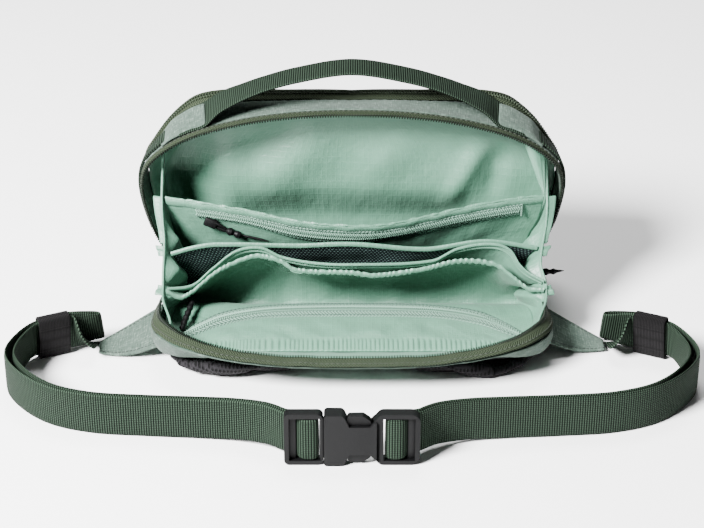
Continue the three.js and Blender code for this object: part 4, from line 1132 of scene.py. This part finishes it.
def gusset_tab_point(u, v, mirror, from_y, to_y, from_wide, to_wide):
    y = lerp(from_y, to_y, u)
    z = read_table(GUSSET, "y", "top", y)
    x = gusset_x(y, z, mirror) - TAB["under"] + v * lerp(from_wide, to_wide, u)
    curl = TAB["wave"] * math.sin(TAB["turns"] * u) * v
    return Vector((mirror * x, y + TAB["sweep"] * v, z - TAB["under"] - curl))


for side, mirror in SIDES:
    gusset = thicken(mint_piece(f"gusset_{side}_lining", cloth_mesh(
        lambda u, v: gusset_point(u, v, mirror), 100, 50,
        relief=lambda u, v, place: drape_noise(place, *GUSSET_DRAPE.values()) * math.sin(math.pi * v)),
        f"gusset_{side}"), LINING)
    mint_piece(f"gusset_{side}_hem", cloth_mesh(lambda u, v: gusset_hem_point(u, v, mirror), 80, 8))
    for number, tab in enumerate(zip(*TABS.values()), 1):
        thicken(mint_piece(f"gusset_{side}_tab_{number}", cloth_mesh(
            lambda u, v: gusset_tab_point(u, v, mirror, *tab), 16, 6)), TAB["thick"])

# Fold at the right end of the far wall: a narrow slack panel between the lip and the gusset's upper edge.
# Mint ripstop, which bulges towards the viewer at its upper end.
FOLD_TOP = (Vector((100, 7, 108)), Vector((111.5, 3, 101)))
FOLD_FOOT = (Vector((112, -7, 79)), Vector((114.5, -11, 75)))
FOLD_BULGE = 2.5
FOLD = 0.7


def wall_fold_point(u, v):
    place = FOLD_TOP[0].lerp(FOLD_TOP[1], u).lerp(FOLD_FOOT[0].lerp(FOLD_FOOT[1], u), v)
    return place + Vector((0, -FOLD_BULGE * math.sin(math.pi * u) * (1 - v), 0))


thicken(mint_piece("far_wall_fold", cloth_mesh(wall_fold_point, 12, 24)), FOLD)

# Dividers: four panels hung between the gussets, three of mint ripstop and one of dark mesh, with waving edges.
# The mesh has a rolled binding, the organizer a binding with two ridges, the slip pocket a gathered elastic, and the
# zip divider a turned hem over a closed zip. Each table gives an upper edge: share of half width, depth and height.
DIVIDERS = {
    "zip_divider": {
        "foot": (6, 6),
        "share": [-1, -0.79, -0.55, -0.28, 0, 0.2, 0.41, 0.62, 0.89, 1],
        "y": [-10, -15, -20, -25.5, -28, -25.5, -20, -15, -11, -10],
        "z": [73.5, 72, 69.5, 65, 63.5, 63.5, 66.5, 70, 74, 74.5],
    },
    "mesh_divider": {
        "foot": (0.5, 6),
        "share": [-1, -0.87, -0.74, -0.3, 0, 0.4, 0.7, 1],
        "y": [-31, -31, -30.5, -31, -32, -31.5, -30.5, -31],
        "z": [46.5, 50.5, 52.5, 52, 53.5, 50, 54.5, 50.5],
    },
    "organizer_panel": {
        "foot": (-6, 7),
        "share": [-1, -0.87, -0.76, -0.62, -0.49, -0.38, -0.2, 0, 0.43, 0.56, 0.73, 0.84, 0.92, 1],
        "y": [-50, -46, -41, -36, -35, -37, -40, -42, -39, -36, -35, -37, -44, -49],
        "z": [33, 33.5, 41.5, 51, 52.5, 47.5, 45, 45, 46, 52.5, 55, 51.5, 42, 37.5],
    },
    "slip_pocket": {
        "foot": (-25, 8),
        "bend": -19,
        "share": [-1, -0.92, -0.71, -0.57, -0.49, -0.38, -0.3, 0, 0.12, 0.37, 0.56, 0.76, 0.84, 0.92, 1],
        "y": [-53, -52.5, -46, -42.5, -41.5, -43, -45, -46.5, -47, -45, -42.5, -43, -47, -51, -53],
        "z": [33, 29, 43, 49, 50.5, 48, 43, 42, 40.5, 43.5, 47.5, 45.5, 39.5, 34, 34],
    },
}
BINDINGS = {
    "zip_divider": {"half_thick": 0.8, "half_high": 0.9, "waves": 13, "wave": 0.5, "columns": 180},
    "mesh_divider": {"half_thick": 0.9, "half_high": 1.6, "waves": 0, "wave": 0, "columns": 180},
    "organizer_panel": {"half_thick": 0.9, "half_high": 1.0, "waves": 0, "wave": 0, "columns": 180},
    "slip_pocket": {"half_thick": 1.1, "half_high": 1.6, "waves": 62, "wave": 0.34, "columns": 700},
}
BEND_DROP = 8
GUSSET_ROOM = 2
ROOM_TAKEN_UP = {"share": 1.6, "down": (0.3, 0.8)}
EDGE_UNEVEN = 31
DIVIDER_DRAPE = {"size": 14, "deep": 1.3}
DIVIDER_SLACK_FROM = (0.05, 0.4)
# The hole colour is painted light: pale mint dots at the centres of the mesh's openings.
DARK_MESH = {"yarn": (0.012, 0.018, 0.020, 1), "hole_lighting": (0.110, 0.178, 0.160, 1)}

dark_mesh, dark_tree, dark_shader, flat = new_finish("dark_mesh", 0.8, 0.1)
knitted = add_group(dark_tree, knit, Flat=flat, Pitch=0.0021)
# Painted light, narrowed to small dots in the openings.
painted_light_dots = math_node(dark_tree, "POWER", knitted.outputs["Hole"], 3)
tint(dark_tree, dark_shader, painted_light_dots, DARK_MESH["yarn"], DARK_MESH["hole_lighting"])
add_relief(dark_tree, dark_shader, knitted.outputs["Height"], 0.0005)


def divider_point(divider, u, v):
    """Place on a divider, across in u and down in v; the one with a bend sweeps back under its edge."""
    share = 2 * u - 1
    edge = Vector([read_table(divider, "share", column, share) for column in ("y", "z")])
    foot = Vector(divider["foot"])
    place = edge.lerp(foot, v)
    if "bend" in divider:
        under = Vector((divider["bend"], edge.y - BEND_DROP))
        onto = Vector((divider["bend"], foot.y))
        w = 1 - v
        place = w ** 3 * edge + 3 * w * w * v * under + 3 * w * v * v * onto + v ** 3 * foot
    room = GUSSET_ROOM * (1 - ROOM_TAKEN_UP["share"] * smooth(v, *ROOM_TAKEN_UP["down"]))
    half = gusset_x(*place, math.copysign(1, share)) - room
    return Vector((share * half, *place))


def binding_mesh(divider, half_thick, half_high, waves, wave, columns):
    """Rolled binding along a divider's upper edge, which may be gathered into small waves."""
    def tube_point(u, v):
        turn = 2 * math.pi * v
        uneven = noise.noise(Vector((EDGE_UNEVEN * u, 0.3, 0.7)))
        rise = wave * (0.7 + 0.6 * uneven) * math.sin(2 * math.pi * (waves * u + 0.25 * math.sin(turn) + uneven))
        around = Vector((0, half_thick * math.sin(turn), half_high * math.cos(turn) + rise))
        return divider_point(divider, u, 0) + around
    return cloth_mesh(tube_point, columns, 10)


for name, finish, slot in (("zip_divider", mint, "mint_lining"), ("mesh_divider", dark_mesh, "dark_mesh"),
                           ("organizer_panel", mint, "mint_lining"), ("slip_pocket", mint, "mint_lining")):
    divider = DIVIDERS[name]
    panel = thicken(new_piece(f"{name}_cloth", cloth_mesh(
        lambda u, v: divider_point(divider, u, v), 150, 24,
        relief=lambda u, v, place: drape_noise(place, *DIVIDER_DRAPE.values()) * smooth(v, *DIVIDER_SLACK_FROM)),
        finish, slot, name), LINING)
    mint_piece(f"{name}_binding", binding_mesh(divider, **BINDINGS[name]))

# Zip of the zip divider: a turned hem, and below it a mint zip that ends at the right in a bar of stitches.
# The hem and the tapes are sewn on the panel's near face, the lower seam following the panel's sag.
ZIP_FOOT = {"share": [-1, -0.6, -0.3, 0, 0.25, 1], "depth": [11, 10.5, 15, 15.5, 12, 11.5]}
ZIP_REACH = (0.08, 0.945)
ZIP_UNDER_HEM = 0.6
ZIP_LIFT = 1.2
ZIP_TAPE = 0.7
HEM = {"deep": 4.5, "thick": 0.6, "lift": 0.7, "swell": 0.5, "ripple": 0.25, "turns": 80}
BAR_TACK = {"size": (1.2, 8.5, 0.8), "lift": 2, "round": 0.3}
LOOK_DOWN = 0.1
zip_divider = DIVIDERS["zip_divider"]
towards_viewer = Vector((0, -1, 0))
rightwards = Vector((1, 0, 0))


def on_divider(divider, u, depth, lift):
    """Place at a depth in millimetres below a divider's upper edge, lifted off its near face."""
    edge = divider_point(divider, u, 0)
    down = (divider_point(divider, u, LOOK_DOWN) - edge).normalized()
    return edge + depth * down + lift * Vector((0, down.z, -down.y)).normalized()


def hem_point(u, v):
    lift = HEM["lift"] + HEM["swell"] * math.sin(math.pi * v) + HEM["ripple"] * math.sin(HEM["turns"] * u)
    return on_divider(zip_divider, u, HEM["deep"] * v, lift)


def divider_zip_place(u, v, lift=ZIP_LIFT):
    across = lerp(*ZIP_REACH, u)
    foot = read_table(ZIP_FOOT, "share", "depth", 2 * across - 1)
    return on_divider(zip_divider, across, lerp(HEM["deep"] - ZIP_UNDER_HEM, foot, v), lift)


thicken(mint_piece("zip_divider_hem", cloth_mesh(hem_point, 180, 6)), HEM["thick"])
add_mint_zip("zip_divider", divider_zip_place, towards_viewer, 6, ZIP_TAPE, coil_lift=1.9, rib=(0.85, 3.0, 0.6),
             coil_rows=(0.27, 0.53), seam_lift=1.6, seam_count=84, seams={"lower": 0.08, "upper": 0.94})
tack_at = divider_zip_place(1, 0.5, BAR_TACK["lift"])
new_piece("zip_divider_bar_tack", block_mesh([(tack_at, rightwards, towards_viewer)], BAR_TACK["size"],
                                             BAR_TACK["round"], 2), mint_tape, "mint_lining")

# Edges below: the slip pocket's corner of elastic, turned down at the left of the middle, and the organizer's second
# ridge, the lower fold of its binding below a groove. Both are of mint cloth on the panels' near faces.
CORNER = {"upper": (0.335, 0.368), "lower": (0.358, 0.366), "long": 6.5, "above": 1, "lift": 1.4, "settles": 0.5,
          "thick": 0.7}
RIDGE = {"depth": 3, "half_high": 0.9, "lift": 0.5, "half_thick": 0.7}


def corner_point(u, v):
    across = lerp(lerp(*CORNER["upper"], u), lerp(*CORNER["lower"], u), v)
    depth = CORNER["long"] * v - CORNER["above"]
    return on_divider(DIVIDERS["slip_pocket"], across, depth, CORNER["lift"] - CORNER["settles"] * v)


def ridge_point(u, v):
    turn = 2 * math.pi * v
    depth = RIDGE["depth"] + RIDGE["half_high"] * math.cos(turn)
    return on_divider(DIVIDERS["organizer_panel"], u, depth, RIDGE["lift"] + RIDGE["half_thick"] * math.sin(turn))


thicken(mint_piece("slip_pocket_corner", cloth_mesh(corner_point, 8, 8)), CORNER["thick"])
mint_piece("organizer_lower_fold", cloth_mesh(ridge_point, 180, 8))

# Handle: dark green webbing that arches over the top strip, its ends sewn down under two heather patches.
# Webbing woven with ribs across its width; every strap of the pack is cut from such webbing.
WEBBING = 1.8
HANDLE_WIDTH = 23
HANDLE_Y = 9
HANDLE_ARCH = {"x": [78, 66, 51, 32], "z": [126.4, 132.4, 138.4, 143.8], "rise": [0.22, 0.1, 0.04, 0.04]}
HANDLE_TOP = 148.8
HANDLE_TOP_RISE = 0.04
HANDLE_LIFT = 2.0
HANDLE_END_HEIGHTS = [108.7, 111.7, 114.7]
# The groove colour is painted shade, nearly black down between the ribs.
GREEN = {"ridge": (0.0265, 0.043, 0.029, 1), "groove_shade": (0.0006, 0.0011, 0.0008, 1)}

# Ribs across a webbing, each a row of short raised cords, as a mask of the grooves, where shade is painted, and the
# height.
ribs, ribs_in, ribs_out = new_group(
    "webbing_ribs",
    [("Flat", "NodeSocketVector", None), ("Pitch", "NodeSocketFloat", 0.00135), ("Cord", "NodeSocketFloat", 0.00115)],
    [("Groove_shade", "NodeSocketFloat"), ("Height", "NodeSocketFloat")])
ribs_axes = axes_of(ribs, ribs_in.outputs["Flat"])
waves = []
for axis, pitch in (("X", "Pitch"), ("Y", "Cord")):
    turns = math_node(ribs, "DIVIDE", math_node(ribs, "MULTIPLY", ribs_axes[axis], math.pi), ribs_in.outputs[pitch])
    waves.append(math_node(ribs, "ABSOLUTE", math_node(ribs, "SINE", turns)))
ribs_height = math_node(ribs, "MULTIPLY", waves[0], math_node(ribs, "MULTIPLY_ADD", waves[1], 0.65, 0.35))
ribs.links.new(ribs_height, ribs_out.inputs["Height"])
ribs.links.new(math_node(ribs, "MULTIPLY_ADD", ribs_height, -1.9, 1.45, clamp=True), ribs_out.inputs["Groove_shade"])

webbing, webbing_tree, webbing_shader, flat = new_finish("green_webbing", 0.75, 0.05)
ribbed = add_group(webbing_tree, ribs, Flat=flat)
# Painted shade: the webbing is darkened down its grooves.
tint(webbing_tree, webbing_shader, ribbed.outputs["Groove_shade"], GREEN["ridge"], GREEN["groove_shade"])
add_relief(webbing_tree, webbing_shader, ribbed.outputs["Height"], 0.0007)


def over_shell(height, y, lift):
    """Place over the left half of the shell, at a height on its outline."""
    return shell_point(hoop_at_height(height), y, -lift)


def handle_slope(height):
    near, far = (over_shell(height, HANDLE_Y + side * HANDLE_WIDTH / 2, 0) for side in (-1, 1))
    return (far - near).normalized()


def strap_run(rows):
    """Place along a strap and its way across there, from rows of a place and a way across."""
    path = Path([place for place, _ in rows])
    runs = [path.run[n * Path.STEPS] for n in range(len(rows))]
    columns = list(zip(*(across for _, across in rows)))

    def way_across(u):
        return Vector([float(np.interp(u * path.length, runs, column)) for column in columns]).normalized()
    return path.at, way_across


handle_left = [(over_shell(height, HANDLE_Y, HANDLE_LIFT), handle_slope(height)) for height in HANDLE_END_HEIGHTS]
handle_left += [(Vector((-x, HANDLE_Y, z)), Vector((0, 1, rise)).normalized())
                for x, z, rise in zip(*HANDLE_ARCH.values())]
handle_right = [(mirrored(place, -1), mirrored(across, -1)) for place, across in reversed(handle_left)]
handle_top = (Vector((0, HANDLE_Y, HANDLE_TOP)), Vector((0, 1, HANDLE_TOP_RISE)))
handle_place, handle_across = strap_run([*handle_left, handle_top, *handle_right])
thicken(new_piece("handle_webbing", ribbon_mesh(handle_place, handle_across, HANDLE_WIDTH, 160, 6), webbing,
                  "green_webbing", "handle"), WEBBING)

# Handle patches and side straps: on each side a heather patch sewn over the handle's end, and a strap below it.
# Each patch stands up over the webbing and is flat at its lower end; the straps lie down the sides of the shell.
PATCH = {"upper": 115.2, "lower": 102.2, "near": -10, "far": 9.5, "thick": 1.2, "high": 3.7, "low": 1.2}
PATCH_FLAT_BELOW = (0.55, 0.95)
PATCH_FLAT_BESIDE = (0.8, 1)
PATCH_BESIDE_SHARE = 0.8
SIDE_STRAP = {"upper": 104, "lower": 48, "width": 16, "y": 9, "lift": 1.5}


def patch_point(u, v, mirror):
    height = lerp(PATCH["upper"], PATCH["lower"], u)
    beside = PATCH_BESIDE_SHARE * smooth(abs(2 * v - 1), *PATCH_FLAT_BESIDE)
    lift = lerp(PATCH["high"], PATCH["low"], max(smooth(u, *PATCH_FLAT_BELOW), beside))
    middle = over_shell(height, HANDLE_Y, lift)
    return mirrored(middle + lerp(PATCH["near"], PATCH["far"], v) * handle_slope(height), -mirror)


def side_strap_height(u):
    return lerp(SIDE_STRAP["upper"], SIDE_STRAP["lower"], u)


def side_strap_place(u, mirror):
    return mirrored(over_shell(side_strap_height(u), SIDE_STRAP["y"], SIDE_STRAP["lift"]), -mirror)


def side_strap_across(u, mirror):
    return mirrored(handle_slope(side_strap_height(u)), -mirror)


for side, mirror in SIDES:
    thicken(new_piece(f"handle_patch_{side}_cloth", cloth_mesh(lambda u, v: patch_point(u, v, mirror), 24, 12),
                      heather, "heather", f"handle_patch_{side}"), PATCH["thick"])
    thicken(new_piece(f"side_strap_{side}_webbing", ribbon_mesh(
        lambda u: side_strap_place(u, mirror), lambda u: side_strap_across(u, mirror), SIDE_STRAP["width"], 50, 4),
        webbing, "green_webbing", f"side_strap_{side}"), WEBBING)

# Wings: tapered heather cloth from the flap's sides to the belt, each with a line of stitches along its edges.
# Each is sewn in behind the flap's strip and sags a little towards its near edge.
WING_X = (116.6, 148)
WING_SEWN_IN = -0.22
WINGS = {
    "left": {"far_y": (-41, -59.5), "far_z": (15, 3), "near_y": (-76, -71.5), "near_z": (7.5, 2.4)},
    "right": {"far_y": (-41, -57.5), "far_z": (15, 3), "near_y": (-72, -67.5), "near_z": (8.5, 2.6)},
}
WING_SAG = 3
WING_SEAMS = {"far": 0.09, "near": 0.91}
WING_STITCH = (1.5, 0.45, 0.4)
WING_STITCHES = 17
WING_STITCH_LIFT = Vector((0, -0.25, 0.75))
heather_thread = plain_finish("heather_thread", (0.009, 0.014, 0.011, 1), 0.8)


def wing_point(u, v, wing, mirror):
    u = lerp(WING_SEWN_IN, 1, u)
    y = lerp(lerp(*wing["far_y"], u), lerp(*wing["near_y"], u), v)
    z = lerp(lerp(*wing["far_z"], u), lerp(*wing["near_z"], u), v) - WING_SAG * math.sin(math.pi * u) * v
    return Vector((mirror * lerp(*WING_X, u), y, z))


for side, mirror in SIDES:
    wing = thicken(new_piece(f"wing_{side}_cloth", cloth_mesh(
        lambda u, v: wing_point(u, v, WINGS[side], mirror), 24, 24), heather, "heather", f"wing_{side}"), SHELL)
    for edge_name, row in WING_SEAMS.items():
        seam = spaced(lambda u: wing_point(u, row, WINGS[side], mirror) + WING_STITCH_LIFT, WING_STITCHES,
                      lambda u: upwards)
        new_piece(f"wing_{side}_{edge_name}_stitches", block_mesh(seam, WING_STITCH), heather_thread, "heather")

# Belt: webbing from each wing, twisted on edge and through the keeper, then round the bar of the buckle and back.
# The layer towards the viewer is the free tail; its end is folded into a hem behind the keeper.
BELT_WIDTH = 25
BELT_STEPS = 44
BUCKLE_Y = -184.5
BUCKLE_HEIGHT = 31
KEEPER_LIFT = 2.1
BELT_LOOP = {
    "x": [36.5, 46, 62, 84, 112, 142, 165, 182, 193, 195, 192, 184.6, 174, 163.4],
    "y": [-178.6, -172, -165.5, -161.8, -159.2, -155.8, -147.2, -132.5, -115, -103, -88, -75.6, -70.4, -65.2],
    "lift": [3, 3, 1.6, 0.5, 0, 0, 0, 0, 0, 0, 0.8, KEEPER_LIFT, KEEPER_LIFT, KEEPER_LIFT],
    "room": [3.4, 3.2, 3, 3, 3, 3, 3.4, 4.2, 4.8, 4.8, 3.8, 2.6, 2.6, 2.6],
    "lean": [0, 0, 0, 0, 0, 0, 0, 0, 0, 0, 6, 12, 12, 12],
}
BAR_TURN = [(33, 8.6), (27, 5.6), (21.5, 3.4), (18.7, 1.7), (18.1, 0), (18.7, -1.7), (20.8, -2.75), (23, -2.85),
            (25.2, -2.75), (27.3, -1.6), (28.4, 0.3), (30, 2.8), (33, 4.9)]
WING_TIP = [((148.6, -68, 5.4), (-0.94, 0.34)), ((152, -69, 7), (-0.9, 0.43)), ((156, -69.5, 10.2), (-0.78, 0.62))]
TAIL_END = [((157, -61.5, 13.6), (-0.3, 0.954)), ((150.5, -59.6, 13.2), (-0.42, 0.907)),
            ((147, -58, 13), (-0.44, 0.898)), ((147.6, -55.4, 13), (-0.44, 0.898)),
            ((156.5, -55.8, 12.8), (-0.36, 0.933)), ((168, -58.8, 12.6), (-0.25, 0.968))]


def leaning_rows(rows):
    return [(Vector(place), Vector((0, *across)).normalized()) for place, across in rows]


def belt_rows():
    """Rows of a place and a way across, from the right wing's tip to the buckle's bar and back to the tail's end."""
    rows = list(zip(BELT_LOOP["x"], BELT_LOOP["y"], BELT_LOOP["lift"]))
    outer = Path([(x, y, lift + BELT_WIDTH / 2) for x, y, lift in rows])
    runs = [0, *np.cumsum([math.dist(a[:2], b[:2]) for a, b in zip(rows, rows[1:])])]
    outer_layer = []
    inner_layer = []
    for step in range(BELT_STEPS + 1):
        t = step / BELT_STEPS
        ahead = outer.ahead(t)
        inward = Vector((-ahead.y, ahead.x, 0)).normalized()
        room, lean = (float(np.interp(t * runs[-1], runs, BELT_LOOP[column])) for column in ("room", "lean"))
        across = (upwards + math.tan(math.radians(lean)) * inward).normalized()
        outer_layer.append((outer.at(t), across))
        inner_layer.append((outer.at(t) + room * inward, across))
    turn = [(Vector((x, BUCKLE_Y + y, BUCKLE_HEIGHT / 2)), upwards) for x, y in BAR_TURN]
    return [*leaning_rows(WING_TIP), *reversed(inner_layer), *turn, *outer_layer, *leaning_rows(TAIL_END)]


belt_place, belt_across = strap_run(belt_rows())
for side, mirror in SIDES:
    thicken(new_piece(f"belt_{side}_webbing", ribbon_mesh(
        lambda u: mirrored(belt_place(u), mirror), lambda u: mirrored(belt_across(u), mirror), BELT_WIDTH, 420, 4),
        webbing, "green_webbing", f"belt_strap_{side}"), WEBBING)

# Keepers: black elastic loops round both layers of each strap, ribbed along their length.
# Each leans with the belt and has round ends above and below it.
KEEPER = {"length": 19, "wall": 0.9, "room": 6.2, "height": 27.8, "square": 0.28}
KEEPER_LEAN = math.radians(12)
# The groove colour is painted shade between the elastic's ribs.
ELASTIC = {"ridge": (0.012, 0.011, 0.0118, 1), "groove_shade": (0.002, 0.002, 0.002, 1)}
elastic, elastic_tree, elastic_shader, flat = new_finish("black_elastic", 0.8, 0.08)
ribbed = add_group(elastic_tree, ribs, Flat=flat, Pitch=0.0009)
# Painted shade: the elastic is darkened down its grooves.
tint(elastic_tree, elastic_shader, ribbed.outputs["Groove_shade"], ELASTIC["ridge"], ELASTIC["groove_shade"])
add_relief(elastic_tree, elastic_shader, ribbed.outputs["Height"], 0.0006)

keeper_from, keeper_to = (Vector((BELT_LOOP["x"][n], BELT_LOOP["y"][n], 0)) for n in (-3, -1))
keeper_ahead = (keeper_to - keeper_from).normalized()
keeper_inward = Vector((-keeper_ahead.y, keeper_ahead.x, 0))
keeper_middle = (keeper_from + keeper_to) / 2 + keeper_inward * BELT_LOOP["room"][-1] / 2
keeper_half_deep = (KEEPER["room"] + KEEPER["wall"]) / 2
keeper_half_high = (KEEPER["height"] - KEEPER["wall"]) / 2


def squared(half, share):
    return half * math.copysign(abs(share) ** KEEPER["square"], share)


def keeper_point(u, v, mirror):
    """Along the belt in u, and round the keeper in v as a loop with round ends."""
    deep = squared(keeper_half_deep, math.cos(2 * math.pi * v))
    high = squared(keeper_half_high, math.sin(2 * math.pi * v))
    leaned = keeper_inward * (deep * math.cos(KEEPER_LEAN) + high * math.sin(KEEPER_LEAN))
    place = keeper_middle + leaned + keeper_ahead * ((u - 0.5) * KEEPER["length"])
    place.z = KEEPER_LIFT + BELT_WIDTH / 2 + high * math.cos(KEEPER_LEAN) - deep * math.sin(KEEPER_LEAN)
    return mirrored(place, mirror)


for side, mirror in SIDES:
    thicken(new_piece(f"keeper_{side}_elastic", cloth_mesh(
        lambda u, v: keeper_point(u, v, mirror), 12, 72, closed=True),
        elastic, "black_elastic", f"keeper_{side}"), KEEPER["wall"])

# Buckle: the fastened side-release buckle, in moulded black plastic with rounded edges and a fine surface.
# Its two halves keep the part's own outlines; the belt runs round a bar in each, with a friction bar beside it.
PLASTIC_COLOUR = (0.0022, 0.0022, 0.0024, 1)
GRAINS_PER_METRE = 1800
EDGE_ROUND = 0.6
CORNER_ROUND = 3.2
MERGE_WITHIN = 0.005
FLAT_WITHIN = math.radians(3)
SHARP_ABOVE = math.radians(30)
FRICTION_BAR = {"size": (4.7, 2, 26), "round": 0.5, "x": 31.8, "y": 0.1}
plastic, plastic_tree, plastic_shader, object_place = new_finish("black_plastic", 0.5, 0.13, "Object")
plastic_shader.inputs["Base Color"].default_value = PLASTIC_COLOUR
add_relief(plastic_tree, plastic_shader, noise_node(plastic_tree, object_place, GRAINS_PER_METRE, 3), 0.00008)


def plastic_piece(name, bm, *nodes):
    return new_piece(name, bm, plastic, "black_plastic", *nodes)


def runs_through(edge):
    """Whether an outer edge runs through the buckle's thickness, as its corners do."""
    way = (edge.verts[0].co - edge.verts[1].co).normalized()
    return abs(way.y) > 0.95 and edge.is_convex


def moulded_mesh(node):
    """Mesh of one half in millimetres, merged, with its corners and then its sharp edges rounded."""
    bm = bmesh.new()
    bm.from_mesh(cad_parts[node].data)
    bmesh.ops.scale(bm, vec=(1 / MM, 1 / MM, 1 / MM), verts=bm.verts)
    bmesh.ops.remove_doubles(bm, verts=bm.verts, dist=MERGE_WITHIN)
    bmesh.ops.dissolve_limit(bm, angle_limit=FLAT_WITHIN, verts=bm.verts, edges=bm.edges)
    for offset, through in ((CORNER_ROUND, True), (EDGE_ROUND, False)):
        sharp = [edge for edge in bm.edges if edge.is_manifold and edge.calc_face_angle() > SHARP_ABOVE]
        if through:
            sharp = [edge for edge in sharp if runs_through(edge)]
        bmesh.ops.bevel(bm, geom=sharp, offset=offset, affect="EDGES", segments=4, profile=0.5, material=-1,
                        clamp_overlap=True)
    bmesh.ops.triangulate(bm, faces=[face for face in bm.faces if len(face.verts) > 4])
    return bm


for half, mirror in (("male", -1), ("female", 1)):
    plastic_piece(f"buckle_{half}_moulding", moulded_mesh(f"buckle_{half}"), f"buckle_{half}")
    bar_at = Vector((mirror * FRICTION_BAR["x"], BUCKLE_Y + FRICTION_BAR["y"], BUCKLE_HEIGHT / 2))
    plastic_piece(f"buckle_{half}_friction_bar", block_mesh([(bar_at, rightwards, upwards)], FRICTION_BAR["size"],
                                                            FRICTION_BAR["round"], 2))

# Zip pulls: short stiff lengths of knotted black cord on the zips' sliders.
# One lies on the zip divider, one on the flap's pocket, and one stands out at the right end of the main zip.
# On the zip divider, places are shares across it and depths below its upper edge.
SLIDER = {"size": (8, 5.5, 2.6), "round": 0.8, "rows": [(0.104, 11.5), (0.13, 13.5)], "lift": 3.0}
STRANDS = {"upper": -1.3, "lower": 1.3}
STRAND = {"radii": (0.9, 0.9, 0.9), "lift": 3.2}
KNOT = {"rows": [(0.155, 16.2), (0.176, 18), (0.2, 19.8)], "lift": 3.4, "radii": (0.3, 2.2, 2.5, 1.4, 2.2, 2.0, 0.5)}
CORD_TAIL = {"rows": [(0.196, 19.6), (0.23, 20.4), (0.27, 21)], "lift": 2.8, "radii": (0.3, 0.75, 0.7, 0.7, 0.2)}
POCKET_PULL = {"places": [(-93.5, -46.5, 24.5), (-95.5, -54, 21.5), (-97.5, -63, 19), (-98.8, -71.5, 17.5)],
               "radii": (0.4, 1.8, 1.4, 1.9, 1.5, 2.0, 1.5, 2.0, 1.5, 2.0, 1.6, 1.9, 0.6)}
MAIN_PULL = {"places": [(108, -22, 30.4), (117, -22, 30.2), (127, -22, 31)],
             "radii": (0.3, 0.8, 0.9, 1.9, 2.2, 1.3, 2.0, 1.0, 0.7, 0.2)}


def cord_mesh(points, radii):
    """Round cord through points, with its radius given at even shares of its length."""
    path = Path(points)
    shares = np.linspace(0, 1, len(radii))

    def skin(u, v):
        ahead = path.ahead(u)
        aside = ahead.cross(upwards).normalized()
        turn = 2 * math.pi * v
        radius = float(np.interp(u, shares, radii))
        return path.at(u) + radius * (math.cos(turn) * aside + math.sin(turn) * aside.cross(ahead))
    return cloth_mesh(skin, 60, 10, closed=True)


def on_zip_divider(rows, lift):
    return [on_divider(zip_divider, u, depth, lift) for u, depth in rows]


slider_at, slider_end = on_zip_divider(SLIDER["rows"], SLIDER["lift"])
slider_station = ((slider_at + slider_end) / 2, (slider_end - slider_at).normalized(), towards_viewer)
plastic_piece("divider_slider", block_mesh([slider_station], SLIDER["size"], SLIDER["round"], 2), "divider_pull")
for strand, aside in STRANDS.items():
    rows = [(0.125, 13 + aside), (0.14, 14.5 + 1.2 * aside), (0.158, 16.6 + 0.6 * aside)]
    plastic_piece(f"divider_pull_{strand}_cord", cord_mesh(on_zip_divider(rows, STRAND["lift"]), STRAND["radii"]))
for piece_name, cord in (("divider_pull_knot", KNOT), ("divider_pull_tail", CORD_TAIL)):
    plastic_piece(piece_name, cord_mesh(on_zip_divider(cord["rows"], cord["lift"]), cord["radii"]))
plastic_piece("pocket_pull_cord", cord_mesh(POCKET_PULL["places"], POCKET_PULL["radii"]), "pocket_pull")
plastic_piece("main_slider_cord", cord_mesh(MAIN_PULL["places"], MAIN_PULL["radii"]), "main_slider")
